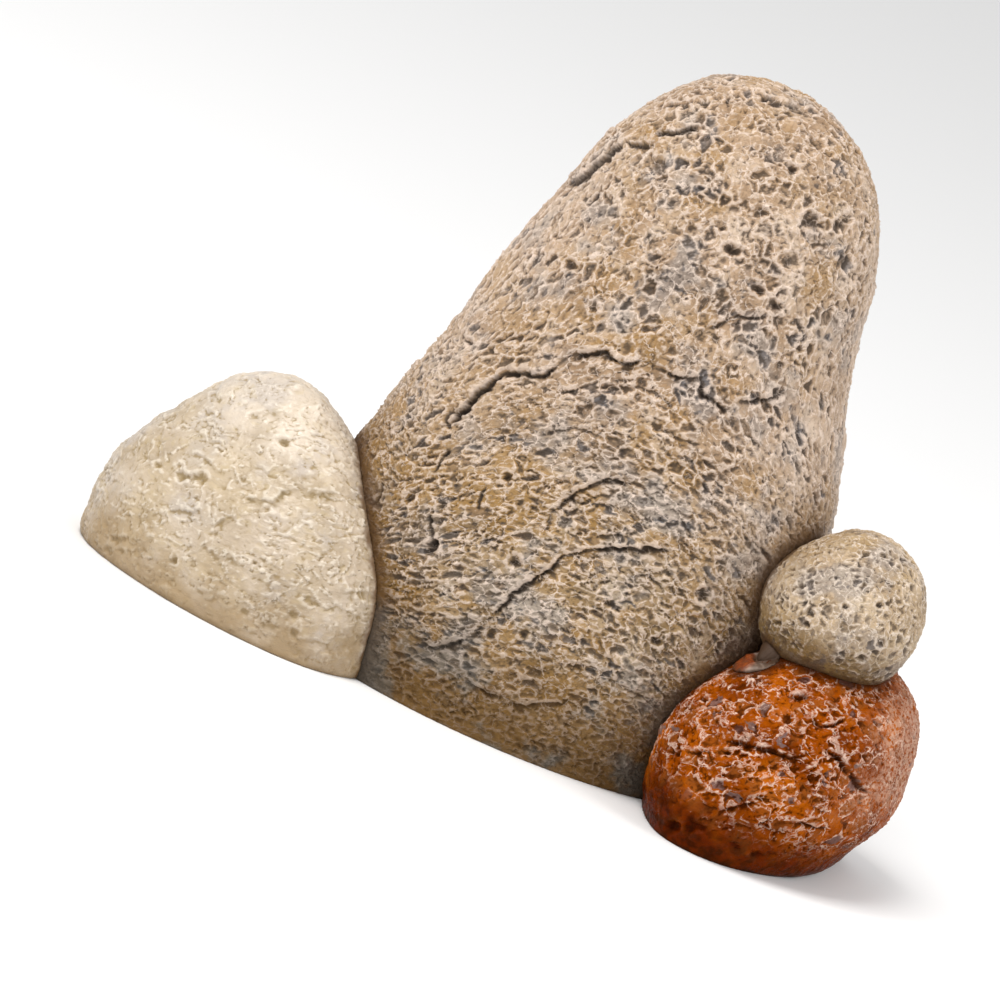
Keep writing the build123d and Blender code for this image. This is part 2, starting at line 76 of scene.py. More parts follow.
class Graph:
    """Builds shader and geometry node trees with the same few words."""

    def __init__(self, tree, geometry=False):
        self.t = tree
        self.geometry = geometry

    def new(self, kind, **props):
        n = self.t.nodes.new(kind)
        for k, v in props.items():
            setattr(n, k, v)
        return n

    def put(self, socket, value):
        if isinstance(value, bpy.types.NodeSocket):
            self.t.links.new(value, socket)
        elif value is not None:
            socket.default_value = value

    def attr(self, name, kind="FLOAT"):
        if self.geometry:
            n = self.new("GeometryNodeInputNamedAttribute", data_type=kind)
            n.inputs["Name"].default_value = name
            return n.outputs[0]
        n = self.new("ShaderNodeAttribute", attribute_name=name)
        return n.outputs["Vector"] if kind == "FLOAT_VECTOR" else n.outputs["Fac"]

    def math(self, op, a, b=0.5, c=None, clamp=False):
        n = self.new("ShaderNodeMath", operation=op, use_clamp=clamp)
        self.put(n.inputs[0], a)
        self.put(n.inputs[1], b)
        if c is not None:
            self.put(n.inputs[2], c)
        return n.outputs[0]

    def mul(self, *values):
        out = values[0]
        for v in values[1:]:
            out = self.math("MULTIPLY", out, v)
        return out

    def add(self, a, b):
        return self.math("ADD", a, b)

    def sub(self, a, b):
        return self.math("SUBTRACT", a, b)

    def vmath(self, op, a, b=None, scale=None):
        n = self.new("ShaderNodeVectorMath", operation=op)
        self.put(n.inputs[0], a)
        if b is not None:
            self.put(n.inputs[1], b)
        if scale is not None:
            self.put(n.inputs["Scale"], scale)
        return n.outputs["Value" if op in ("DOT_PRODUCT", "LENGTH", "DISTANCE") else "Vector"]

    def range(self, x, lo, hi, a=0.0, b=1.0):
        n = self.new("ShaderNodeMapRange", interpolation_type="SMOOTHSTEP")
        self.put(n.inputs["Value"], x)
        for name, v in (
            ("From Min", lo),
            ("From Max", hi),
            ("To Min", a),
            ("To Max", b),
        ):
            self.put(n.inputs[name], v)
        return n.outputs["Result"]

    def noise(self, vec, size, detail=2.0, rough=0.5, distort=0.0, offset=None):
        if offset is not None:
            vec = self.vmath("ADD", vec, offset)
        n = self.new("ShaderNodeTexNoise", noise_dimensions="3D")
        self.put(n.inputs["Vector"], vec)
        self.put(n.inputs["Scale"], 1.0 / size)
        self.put(n.inputs["Detail"], detail)
        self.put(n.inputs["Roughness"], rough)
        self.put(n.inputs["Distortion"], distort)
        return n

    def fac(self, *a, **k):
        return self.noise(*a, **k).outputs[0]

    def cells(self, vec, size, feature="F1", randomness=1.0):
        n = self.new("ShaderNodeTexVoronoi", voronoi_dimensions="3D", feature=feature)
        self.put(n.inputs["Vector"], vec)
        self.put(n.inputs["Scale"], 1.0 / size)
        self.put(n.inputs["Randomness"], randomness)
        return n

    def split(self, colour):
        if self.geometry:
            n = self.new("ShaderNodeSeparateXYZ")
        else:
            n = self.new("ShaderNodeSeparateXYZ")
        self.put(n.inputs[0], colour)
        return n.outputs[0], n.outputs[1], n.outputs[2]

    def mix(self, fac, a, b, blend="MIX"):
        n = self.new("ShaderNodeMix", data_type="RGBA", blend_type=blend)
        self.put(n.inputs[0], fac)
        self.put(n.inputs[6], a)
        self.put(n.inputs[7], b)
        return n.outputs[2]

    def ramp(self, fac, *stops):
        n = self.new("ShaderNodeValToRGB")
        self.put(n.inputs[0], fac)
        e = n.color_ramp.elements
        while len(e) < len(stops):
            e.new(0.5)
        for k, (at, colour) in enumerate(stops):
            e[k].position = at
            e[k].color = colour
        return n.outputs[0]


# Cell sizes in mm, the same in the shapes and in the paint, and the sizes and strengths
# of the noises that bend the cells
CELLS = {
    "main": dict(a=2.5, b=1.15, c=6.5, d=1.7, warp=((2.8, 5.0), (1.9, 1.5), (0.8, 0.65))),
    "small": dict(a=1.9, b=0.95, c=4.4, d=1.5, warp=((2.2, 4.0), (1.6, 1.3), (0.7, 0.6))),
    "cream": dict(a=4.4, b=1.8, c=8.0, d=2.6, warp=((3.6, 6.0), (2.4, 2.0), (1.0, 0.8))),
    "rust": dict(a=3.3, b=1.4, c=7.0, d=2.2, warp=((3.4, 5.0), (2.4, 1.7), (1.0, 0.7))),
    "web": dict(a=3.0, b=1.3, c=6.0, d=1.9, warp=((2.0, 5.0), (1.5, 1.4), (0.6, 0.6))),
}

# ------------------------------------------------------------------ stone shapes
def evaluated_mesh(ob):
    bpy.context.view_layer.update()
    deps = bpy.context.evaluated_depsgraph_get()
    return bpy.data.meshes.new_from_object(
        ob.evaluated_get(deps), preserve_all_data_layers=True, depsgraph=deps
    )


def temp_object(name, me):
    ob = bpy.data.objects.new(name, me)
    bpy.context.scene.collection.objects.link(ob)
    return ob


def drop(ob):
    me = ob.data
    bpy.data.objects.remove(ob)
    if me.users == 0:
        bpy.data.meshes.remove(me)


def even_mesh(node, voxel):
    """The CAD node as an even mesh of small faces that lie on its surface."""
    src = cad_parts[node]
    ob = temp_object("tmp_even", src.data.copy())
    w = ob.modifiers.new("weld", "WELD")
    w.merge_threshold = 1e-6
    r = ob.modifiers.new("remesh", "REMESH")
    r.mode = "VOXEL"
    r.voxel_size = voxel
    r.use_smooth_shade = True
    s = ob.modifiers.new("snap", "SHRINKWRAP")
    s.target = src
    s.wrap_method = "NEAREST_SURFACEPOINT"
    me = evaluated_mesh(ob)
    drop(ob)
    return me


def positions(me):
    a = np.empty(len(me.vertices) * 3, np.float32)
    me.vertices.foreach_get("co", a)
    return a.reshape(-1, 3).astype(np.float64)


def normals(me):
    a = np.empty(len(me.vertices) * 3, np.float32)
    me.vertex_normals.foreach_get("vector", a)
    return a.reshape(-1, 3).astype(np.float64)


def write_attr(me, name, values):
    kind = "FLOAT" if values.ndim == 1 else "FLOAT_VECTOR"
    old = me.attributes.get(name)
    if old is not None:
        me.attributes.remove(old)
    a = me.attributes.new(name, kind, "POINT")
    a.data.foreach_set(
        "value" if kind == "FLOAT" else "vector", values.astype(np.float32).ravel()
    )


def read_attr(me, name):
    a = me.attributes[name]
    if a.data_type == "FLOAT":
        out = np.empty(len(a.data), np.float32)
        a.data.foreach_get("value", out)
        return out.astype(np.float64)
    out = np.empty(len(a.data) * 3, np.float32)
    a.data.foreach_get("vector", out)
    return out.reshape(-1, 3).astype(np.float64)


def field_tree(kind, others):
    """Geometry nodes that store the warped coordinates, the cell fields, some noise and
    the distance to the stone's neighbours."""
    c = CELLS[kind]
    tree = bpy.data.node_groups.new("fields_" + kind, "GeometryNodeTree")
    tree.interface.new_socket("Geometry", in_out="INPUT", socket_type="NodeSocketGeometry")
    tree.interface.new_socket("Geometry", in_out="OUTPUT", socket_type="NodeSocketGeometry")
    g = Graph(tree, geometry=True)
    geo = g.new("NodeGroupInput").outputs[0]

    def store(name, value, data_type="FLOAT"):
        nonlocal geo
        n = g.new("GeometryNodeStoreNamedAttribute", data_type=data_type, domain="POINT")
        g.put(n.inputs["Geometry"], geo)
        n.inputs["Name"].default_value = name
        g.put(n.inputs["Value"], value)
        geo = n.outputs[0]

    rc = g.attr("rc", "FLOAT_VECTOR")
    pc = rc
    for k, (amp, size) in enumerate(c["warp"]):
        w = g.noise(rc, size, 1.0, offset=(40.0 * k, 5.0, 1.0)).outputs["Color"]
        w = g.vmath("SCALE", g.vmath("SUBTRACT", w, (0.5, 0.5, 0.5)), scale=amp)
        pc = g.vmath("ADD", pc, w)
    store("pc", pc, "FLOAT_VECTOR")
    for key in "ab":
        e = g.cells(pc, c[key], "DISTANCE_TO_EDGE").outputs["Distance"]
        f = g.cells(pc, c[key])
        store("e" + key, e)
        store("c" + key, f.outputs["Color"], "FLOAT_VECTOR")
        # height of a facet that tilts its own way in each cell
        away = g.vmath("SUBTRACT", pc, f.outputs["Position"])
        lean = g.vmath("SUBTRACT", f.outputs["Color"], (0.5, 0.5, 0.5))
        store("t" + key, g.vmath("DOT_PRODUCT", away, lean))
    for key in "cd":
        f = g.cells(pc, c[key])
        store("e" + key, f.outputs["Distance"])
        store("c" + key, f.outputs["Color"], "FLOAT_VECTOR")
    for k, (size, detail) in enumerate(((24.0, 2.0), (8.0, 3.0), (2.4, 3.0), (0.9, 2.0))):
        store("n%d" % k, g.fac(rc, size, detail, offset=(17.0 * k, 3.0, 9.0)))
    for k, (size, detail) in enumerate(((9.0, 3.0), (4.5, 3.0), (7.0, 2.0))):
        store("s%d" % k, g.fac(rc, size, detail, 0.5, 0.4, offset=(5.0, 23.0 * k, 31.0)))
    place = g.attr("place", "FLOAT_VECTOR")
    for k, (size, detail) in enumerate(
        ((24.0, 3.0), (8.0, 4.0), (2.2, 3.0), (11.0, 4.0), (3.4, 3.0))
    ):
        store("m%d" % k, g.fac(place, size, detail, 0.6, offset=(3.0, 9.0, 61.0 * k)))
    join = g.new("GeometryNodeJoinGeometry")
    for o in others:
        info = g.new("GeometryNodeObjectInfo", transform_space="ORIGINAL")
        info.inputs["Object"].default_value = o
        tree.links.new(info.outputs["Geometry"], join.inputs[0])
    near = g.new("GeometryNodeProximity", target_element="FACES")
    tree.links.new(join.outputs[0], near.inputs[0])
    store("near", near.outputs["Distance"])
    out = g.new("NodeGroupOutput")
    tree.links.new(geo, out.inputs[0])
    return tree


def with_fields(me, kind, others):
    write_attr(me, "place", positions(me) * 1000.0)
    ob = temp_object("tmp_fields", me)
    m = ob.modifiers.new("fields", "NODES")
    m.node_group = field_tree(kind, others)
    done = evaluated_mesh(ob)
    drop(ob)
    return done


def edge_pairs(me):
    a = np.empty(len(me.edges) * 2, np.int32)
    me.edges.foreach_get("vertices", a)
    return a.reshape(-1, 2)


def blurred(values, pairs, count, times):
    """values averaged with their neighbours on the mesh, so many times."""
    deg = np.bincount(pairs.ravel(), minlength=count).clip(1)
    out = values.copy()
    for _ in range(times):
        s = np.bincount(pairs[:, 0], out[pairs[:, 1]], count)
        s += np.bincount(pairs[:, 1], out[pairs[:, 0]], count)
        out = 0.35 * out + 0.65 * s / deg
    return out


def line_field(uv, line):
    """For a line of picture points: signed distance in mm (positive on its left as it is
    walked, which is above a line drawn from left to right) and a fade at its two ends."""
    p = np.array(line, float)
    best = np.full(len(uv), 1e9)
    side = np.zeros(len(uv))
    along = np.zeros(len(uv))
    seg = np.hypot(*(p[1:] - p[:-1]).T)
    start = np.concatenate([[0], np.cumsum(seg)])
    total = start[-1]
    for k in range(len(p) - 1):
        a, b = p[k], p[k + 1]
        d = b - a
        n = d @ d
        t = np.clip(((uv - a) @ d) / n, 0, 1)
        q = uv - a - t[:, None] * d
        dist = np.hypot(q[:, 0], q[:, 1])
        cross = d[0] * (uv[:, 1] - a[1]) - d[1] * (uv[:, 0] - a[0])
        closer = dist < best
        best = np.where(closer, dist, best)
        side = np.where(closer, np.where(cross < 0, 1.0, -1.0), side)
        along = np.where(closer, start[k] + t * seg[k], along)
    mm = PIXEL * 1000.0
    fade = np.clip(np.minimum(along, total - along) / (0.16 * total), 0, 1)
    return best * side * mm, 0.15 + 0.85 * fade


class Relief:
    """Collects heights (mm, along the normal) and paint masks for one stone."""

    FIELDS = "ea eb ec ed ca cb cc cd ta tb n0 n1 n2 n3 s0 s1 s2".split()

    def __init__(self, me, facing, rough=1.0):
        self.me = me
        self.co = positions(me)
        self.n = normals(me)
        self.uv = on_picture(self.co)
        self.mm = self.co * 1000.0
        self.front = smooth(-(self.n @ FORWARD), facing, facing + 0.25)
        count = len(self.co)
        self.h = np.zeros(count)
        self.crack = np.zeros(count)
        self.rim = np.zeros(count)
        self.f = {k: read_attr(me, k) for k in self.FIELDS}
        self.f["near"] = read_attr(me, "near") * 1000.0
        f = self.f
        self.wobble = rough * (2.4 * (f["n1"] - 0.5) + 1.9 * (f["n2"] - 0.5) + 0.5 * (f["n3"] - 0.5))
        self.uneven = 1.5 * (f["n2"] - 0.5) + 0.8 * (f["n3"] - 0.5)
        self.patchy = smooth(f["n1"] + 0.5 * (f["n2"] - 0.5), 0.36, 0.54)

    def ledge(self, line, lip=0.35, drop=0.7, cut=0.6, reach=4.0, fall=3.0, paint=1.0, wide=0.34, soft=1.0):
        """A worn ledge: the side above the line stands proud and the side below falls
        away, with a crack between. Lines are given so that the proud side is above."""
        sd, fade = line_field(self.uv, line)
        w = self.front * fade
        sd = sd + self.wobble
        broken = 0.22 + 0.78 * self.patchy
        up = np.where(sd > 0, np.exp(-np.clip(sd, 0, None) / (1.6 * reach)), 0.0)
        down = np.where(sd <= 0, np.exp(-np.clip(-sd, 0, None) / fall), 0.0)
        edge = smooth(sd, -0.3 * soft, 0.2 * soft)
        self.h += w * (0.45 * lip * up * edge - drop * down * (1 - edge)) * broken
        crack = np.exp(-(((sd + 0.3 * soft) / (wide * (0.55 + 0.9 * self.patchy))) ** 2)) * broken
        self.h -= w * cut * crack
        # painted shadow: a soft band just below the ledge joins the crack in the dark crack mask; the crack's own
        # darkness is partly painted shade
        under = np.where(sd <= 0, np.exp(np.clip(sd, None, 0) / 1.5), 0.0) * broken
        self.crack = np.maximum(self.crack, w * paint * np.maximum(crack, 0.3 * under))
        thin = np.exp(-(((sd - 0.16 - 0.2 * self.uneven) / 0.24) ** 2)) * broken
        thin *= smooth(self.f["n3"] + 0.5 * self.f["n2"], 0.68, 0.88)
        self.rim = np.maximum(self.rim, 0.9 * w * paint * thin)

    def terrace(self, field, steps, amp, mask, paint=0.6, lip=0.03):
        """Small overlapping flakes: a field's contours become little ledges."""
        t = field * steps
        t = t - np.floor(t)
        self.h += amp * mask * (t**1.5 - 0.5)
        crack = np.exp(-((t / lip) ** 2)) * smooth(mask, 0.2, 0.6)
        self.h -= 0.5 * amp * crack
        self.crack = np.maximum(self.crack, crack * paint)
        rim = np.exp(-(((1 - t) / lip) ** 2)) * smooth(mask, 0.2, 0.6)
        self.rim = np.maximum(self.rim, rim * paint)

    def groove(self, line, cut=0.5, wide=0.4, paint=1.0):
        sd, fade = line_field(self.uv, line)
        w = self.front * fade
        sd = sd + 0.7 * self.wobble
        crack = np.exp(-((sd / wide) ** 2))
        self.h -= w * cut * crack
        self.crack = np.maximum(self.crack, w * crack * paint)

    def pit(self, x, y, radius, depth, squash=1.0, paint=0.8, rim=0.5, ring=0.12):
        mm = PIXEL * 1000.0
        dx = (self.uv[:, 0] - x) * mm
        dy = (self.uv[:, 1] - y) * mm / squash
        r = np.hypot(dx, dy) + self.uneven
        bowl = 1 - smooth(r, 0.25 * radius, radius)
        self.h -= self.front * depth * bowl
        # painted shade: a dark core in the pit, smaller on its upper side, goes into the crack mask
        core = 1 - smooth(r + 0.25 * (dy < 0), 0.1 * radius, 0.8 * radius)
        self.crack = np.maximum(self.crack, self.front * core * paint)
        lip = np.exp(-(((r - radius * 1.05) / 0.35) ** 2))
        self.h += self.front * ring * lip
        self.rim = np.maximum(self.rim, self.front * lip * rim)

    def finish(self, free, foot=True):
        """Moves the vertices and leaves the paint masks on the mesh."""
        me, co = self.me, self.co
        n = self.n.copy()
        if foot:
            low = 1 - smooth(self.mm[:, 2], 0.2, 1.4)
            n[:, 2] *= 1 - low
        h = self.h * free
        pairs = edge_pairs(me)
        times = 12
        cav = h - blurred(h, pairs, len(co), times)
        wide = h - blurred(h, pairs, len(co), times * 6)
        new = co + n * (h / 1000.0)[:, None]
        if foot:
            new[:, 2] = np.where(co[:, 2] < 2e-5, co[:, 2], np.maximum(new[:, 2], 2e-5))
        me.vertices.foreach_set("co", new.astype(np.float32).ravel())
        me.update()
        write_attr(me, "cav", np.clip(cav / 0.2, -1, 1))
        write_attr(me, "dip", np.clip(wide / 0.5, -1, 1))
        write_attr(me, "crack", self.crack * np.clip(free * 2, 0, 1))
        write_attr(me, "rim", self.rim * np.clip(free * 2, 0, 1))
        write_attr(me, "near", self.f["near"])
        for k in self.FIELDS + ["rc"]:
            a = me.attributes.get(k)
            if a is not None:
                me.attributes.remove(a)


def finished_object(name, me, node):
    ob = bpy.data.objects.new(name, me)
    bpy.context.scene.collection.objects.link(ob)
    me.shade_smooth()
    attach(ob, "rock")
    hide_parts(node)
    return ob


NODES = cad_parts


def others(*names):
    return [NODES[n] for n in names]


# ---- tall stone
def build_main():
    me = even_mesh("main_rock", VOXEL)
    co = positions(me)
    mm = co * 1000.0
    # coordinates for the cells: lower down the pits are drawn out along arcs
    x, y, z = mm.T
    low = smooth(-z, -90.0, -52.0)
    arc = 0.012 * np.clip(x - 10.0, -40.0, 40.0) ** 2
    arc *= smooth(-z, -132.0, -44.0) * smooth(z, 0.0, 30.0)
    flow = z + low * 0.38 * (z - 71.0) + arc
    write_attr(me, "rc", np.stack([x * (1 - 0.2 * low), y * (1 - 0.1 * low), flow], 1))
    me = with_fields(me, "main", others("cream_rock", "rust_rock", "small_tan_rock", "mortar_web"))
    r = Relief(me, 0.02)
    f = r.f
    x, y, z = r.mm.T
    high = smooth(z, 48.0, 78.0)
    # broad lumps
    r.h += 1.8 * (f["n0"] - 0.5) + 1.1 * (f["n1"] - 0.5) + 0.7 * (f["n2"] - 0.5) + 0.4 * (f["n3"] - 0.5)
    # pits with thin walls, in patches
    rich = 0.5 + 0.5 * smooth(f["s2"], 0.42, 0.56)
    depth = smooth(f["ca"][:, 0], 0.1, 0.95) * (0.62 + 0.14 * high) + 0.06
    r.h -= depth * smooth(f["ea"], 0.0, 0.3) * rich
    r.h -= smooth(f["cb"][:, 0], 0.2, 1.0) * 0.3 * smooth(f["eb"], 0.02, 0.32)
    r.h += 0.2 * f["tb"] + 0.16 * f["ta"]
    # some large bowls and pinholes
    big = smooth(f["cc"][:, 1], 0.62, 0.72) * (0.4 + 0.6 * high)
    r.h -= 0.8 * big * (1 - smooth(f["ec"], 0.06, 0.3))
    hole = smooth(f["cd"][:, 1], 0.74, 0.78)
    core = hole * (1 - smooth(f["ed"], 0.05, 0.2))
    r.h -= 0.7 * core
    r.crack = np.maximum(r.crack, 0.5 * core)
    # thin overlapping flakes, more of them low down
    flaky = smooth(f["s1"], 0.4, 0.55) * (1 - 0.6 * high)
    r.terrace(f["s0"], 11.0, 0.55, flaky, paint=0.5)
    # the middle ledge that runs right across the front
    r.ledge(
        [(574, 655), (583, 627), (585, 600), (594, 570), (612, 541), (630, 534), (647, 527), (656, 518), (666, 500), (683, 488), (697, 481), (713, 487), (730, 477), (753, 477), (775, 475), (793, 468), (808, 460), (823, 452)],
        lip=0.4, drop=1.2, cut=0.8, reach=9.0, fall=5.0, wide=0.38,
    )
    r.ledge([(800, 470), (806, 481), (823, 484), (842, 489)], lip=0.5, drop=0.5, cut=0.9)
    r.ledge([(836, 474), (857, 463), (873, 453), (880, 440)], lip=0.5, drop=0.4, cut=0.5, paint=0.7)
    r.ledge([(768, 452), (773, 437), (780, 421), (793, 405), (805, 393), (829, 386)], lip=0.35, drop=0.6, cut=0.5, paint=0.7)
    # arc ridge and the strands beside it
    r.ledge([(711, 676), (713, 655), (718, 637), (727, 620), (738, 606), (753, 596), (773, 592), (797, 594)], lip=0.5, drop=0.8, cut=0.5, reach=3.0, fall=2.0, paint=0.7)
    r.ledge([(722, 668), (727, 650), (735, 632), (748, 617), (764, 608)], lip=0.3, drop=0.5, cut=0.4, reach=2.5, fall=1.5, paint=0.5)
    # long lower crack
    r.ledge(
        [(622, 813), (643, 819), (658, 821), (673, 812), (687, 802), (697, 783), (703, 763), (708, 743), (718, 727), (727, 714), (740, 687), (760, 673), (780, 659), (800, 649), (820, 642), (840, 637), (860, 632), (875, 629), (896, 624)],
        lip=0.35, drop=1.1, cut=0.8, reach=8.0, fall=4.0, wide=0.36,
    )
    r.ledge([(737, 801), (753, 795), (767, 792), (783, 788), (797, 781), (812, 776), (828, 777), (842, 781), (863, 782), (882, 784), (897, 784)], lip=0.4, drop=0.9, cut=0.4, reach=5.0, fall=4.0, paint=0.8)
    r.ledge([(693, 837), (713, 838), (733, 842), (753, 840), (770, 836), (787, 828), (800, 821), (812, 809), (824, 792)], lip=0.4, drop=0.8, cut=0.35, reach=4.0, fall=3.0, paint=0.7)
    # upper left shoulder
    r.ledge([(586, 352), (597, 338), (603, 325), (611, 309), (617, 292), (628, 282), (640, 278), (658, 271)], lip=0.12, drop=1.0, cut=0.5, fall=5.0)
    r.ledge([(640, 242), (652, 229), (668, 222), (684, 214), (695, 205), (711, 195), (730, 184), (750, 180), (773, 177), (797, 180)], lip=0.12, drop=1.0, cut=0.5, fall=5.0)
    r.ledge([(648, 262), (660, 255), (673, 247), (686, 234)], lip=0.1, drop=0.8, cut=0.5, fall=4.0)
    # small strands in the middle
    for line in (
        [(667, 545), (690, 523), (716, 503), (747, 490)],
        [(700, 520), (730, 503), (760, 497), (790, 508)],
        [(745, 540), (770, 528), (800, 531), (828, 526)],
        [(786, 545), (806, 552), (828, 561), (850, 566)],
        [(745, 565), (762, 562), (780, 569), (800, 566)],
        [(742, 640), (752, 625), (768, 617), (785, 620)],
        [(757, 655), (774, 648), (790, 640), (810, 622)],
        [(668, 590), (680, 574), (700, 563), (722, 560)],
        [(812, 676), (828, 668), (843, 673), (852, 684)],
        [(780, 700), (792, 690), (800, 680)],
        [(840, 520), (852, 505), (866, 500), (880, 503)],
        [(850, 545), (866, 533), (884, 530)],
    ):
        r.ledge(line, lip=0.2, drop=0.4, cut=0.3, reach=1.6, fall=1.2, paint=0.5, wide=0.25)
    for line in (
        [(593, 632), (590, 648), (588, 664)],
        [(582, 598), (581, 610), (584, 618)],
        [(543, 628), (539, 642)],
        [(644, 655), (641, 672), (646, 680)],
        [(545, 690), (548, 705), (545, 720)],
        [(601, 700), (612, 722), (624, 735)],
    ):
        r.groove(line, cut=0.6, wide=0.35)
    for x0, y0, rad, deep, sq in (
        (630, 418, 1.5, 1.3, 1.0), (668, 447, 1.3, 1.0, 1.2), (772, 338, 2.1, 1.5, 0.7),
        (833, 280, 2.6, 1.4, 0.8), (813, 365, 2.0, 1.6, 0.6), (783, 292, 2.0, 1.0, 0.7),
        (836, 371, 1.5, 1.0, 0.7), (887, 665, 1.8, 2.0, 1.1), (700, 712, 1.7, 1.3, 1.1),
        (862, 727, 1.5, 1.0, 0.6), (803, 712, 1.4, 0.9, 0.7), (657, 637, 1.2, 1.2, 1.0),
        (577, 696, 1.2, 1.0, 1.3), (567, 529, 0.9, 0.9, 0.8), (667, 292, 2.6, 1.1, 1.2),
        (862, 268, 1.6, 1.0, 1.5), (795, 240, 1.3, 1.0, 0.9), (738, 775, 1.2, 0.9, 1.0),
        (707, 787, 1.3, 0.9, 0.9), (880, 300, 2.2, 0.9, 1.5), (618, 733, 1.6, 1.1, 1.4),
        (610, 690, 1.2, 0.9, 1.2), (872, 450, 1.6, 0.9, 1.0), (828, 325, 2.6, 0.9, 0.8),
    ):
        r.pit(x0, y0, rad, deep, sq)
    # layered breaks on the sides and back
    back = 1 - r.front
    layer = (z + 14.0 * (f["n0"] - 0.5) + 9.0 * (f["n1"] - 0.5) + 0.12 * x) / 29.0 + 0.2
    r.terrace(layer, 1.0, 0.9, back * smooth(f["n1"], 0.38, 0.52), paint=0.9, lip=0.016)
    # where the object is free to move
    ax, ay = np.abs(x - 4.19), np.abs(y - 9.78)
    inside = (z < 6.75) & (((ax < 36.7) & (ay < 22.7)) | ((ax < 42.45) & (ay < 13.2)))
    inside |= (z < 15.0) & (ax > 34.0) & (ax < 39.8) & (ay < 10.2)
    inside |= (z < 26.4) & (ax < 32.6) & (np.abs(y - 8.28) < 16.1)
    inside |= (z < 4.9) & (np.hypot(x - 4.19, y + 8.42) < 8.25)
    free = np.where(inside | (z < 0.12), 0.0, 1.0)
    free *= 0.4 + 0.6 * smooth(z, 0.0, 2.5)
    free *= 0.25 + 0.75 * smooth(f["near"], 0.0, 4.0)
    r.h -= 0.35 * np.exp(-((f["near"] / 1.2) ** 2))
    r.finish(free)
    return finished_object("tall_stone", me, "main_rock")


# ---- cream stone
def build_cream():
    me = even_mesh("cream_rock", VOXEL)
    mm = positions(me) * 1000.0
    write_attr(me, "rc", np.stack([mm[:, 0] * 0.8, mm[:, 1] * 0.8, mm[:, 2] * 1.25], 1))
    me = with_fields(me, "cream", others("main_rock"))
    r = Relief(me, 0.02, 0.4)
    f = r.f
    x, y, z = r.mm.T
    r.h += 1.3 * (f["n0"] - 0.5) + 1.1 * (f["n1"] - 0.5) + 0.4 * (f["n2"] - 0.5) + 0.08 * (f["n3"] - 0.5)
    # shallow overlapping flakes and lumps
    r.h += 0.22 * f["ta"] * smooth(f["ea"], 0.0, 0.14) + 0.2 * f["tb"] * smooth(f["eb"], 0.0, 0.16)
    r.terrace(f["s0"], 10.0, 0.34, smooth(f["s1"], 0.42, 0.6), paint=0.25)
    r.terrace(f["s1"], 8.0, 0.26, smooth(f["s2"], 0.45, 0.62), paint=0.2)
    hole = smooth(f["cd"][:, 1], 0.87, 0.9) * (1 - smooth(f["ed"], 0.04, 0.1))
    r.h -= 0.4 * hole
    r.crack = np.maximum(r.crack, 0.8 * hole)
    r.ledge([(412, 770), (420, 766), (437, 758), (453, 755), (458, 741), (473, 732), (493, 725), (520, 718)], lip=0.35, drop=0.55, cut=0.2, reach=5.0, fall=4.0, paint=0.4, soft=2.6, wide=0.8)
    r.ledge([(392, 700), (397, 685), (412, 673), (430, 668), (445, 668), (460, 661), (476, 657)], lip=0.3, drop=0.4, cut=0.15, reach=4.0, fall=3.0, paint=0.25, soft=2.6, wide=0.8)
    r.ledge([(408, 802), (413, 792), (421, 785), (430, 781)], lip=0.3, drop=0.4, cut=0.2, reach=2.4, fall=1.8, soft=1.8, wide=0.6, paint=0.35)
    r.ledge([(358, 809), (368, 801), (381, 797), (394, 789)], lip=0.25, drop=0.35, cut=0.15, reach=2.4, fall=1.8, soft=1.8, wide=0.6, paint=0.3)
    r.ledge([(420, 828), (440, 822), (462, 826), (480, 820)], lip=0.2, drop=0.3, cut=0.12, reach=2.4, fall=1.8, soft=1.8, wide=0.6, paint=0.25)
    r.ledge([(355, 745), (372, 741), (392, 748), (405, 746)], lip=0.2, drop=0.3, cut=0.12, reach=2.4, fall=1.8, soft=1.8, wide=0.6, paint=0.25)
    r.ledge([(470, 784), (488, 778), (505, 782), (523, 776)], lip=0.2, drop=0.3, cut=0.12, reach=2.4, fall=1.8, soft=1.8, wide=0.6, paint=0.25)
    r.ledge([(495, 872), (515, 866), (534, 869), (555, 860)], lip=0.2, drop=0.25, cut=0.1, reach=2.4, fall=1.8, soft=1.8, wide=0.6, paint=0.2)
    for x0, y0, rad, deep, sq in (
        (361, 768, 1.5, 0.9, 1.0), (379, 762, 1.9, 1.0, 0.8), (370, 766, 1.4, 0.6, 0.9), (386, 729, 1.1, 0.6, 0.7),
        (441, 696, 1.8, 0.8, 0.6), (528, 867, 1.1, 0.6, 1.0), (387, 848, 0.9, 0.7, 1.0),
        (335, 768, 1.3, 0.5, 0.8), (518, 850, 1.4, 0.5, 0.8), (335, 862, 1.2, 0.5, 0.7),
        (462, 818, 0.8, 0.6, 0.8), (472, 868, 1.2, 0.5, 0.8),
    ):
        r.pit(x0, y0, rad, deep, sq, paint=0.55, rim=0.05, ring=0.03)
    base = z < 0.12
    free = np.where(base, 0.0, 1.0) * (0.4 + 0.6 * smooth(z, 0.0, 2.5))
    free *= smooth(f["near"], 0.15, 1.6)
    r.finish(free)
    return finished_object("cream_stone", me, "cream_rock")


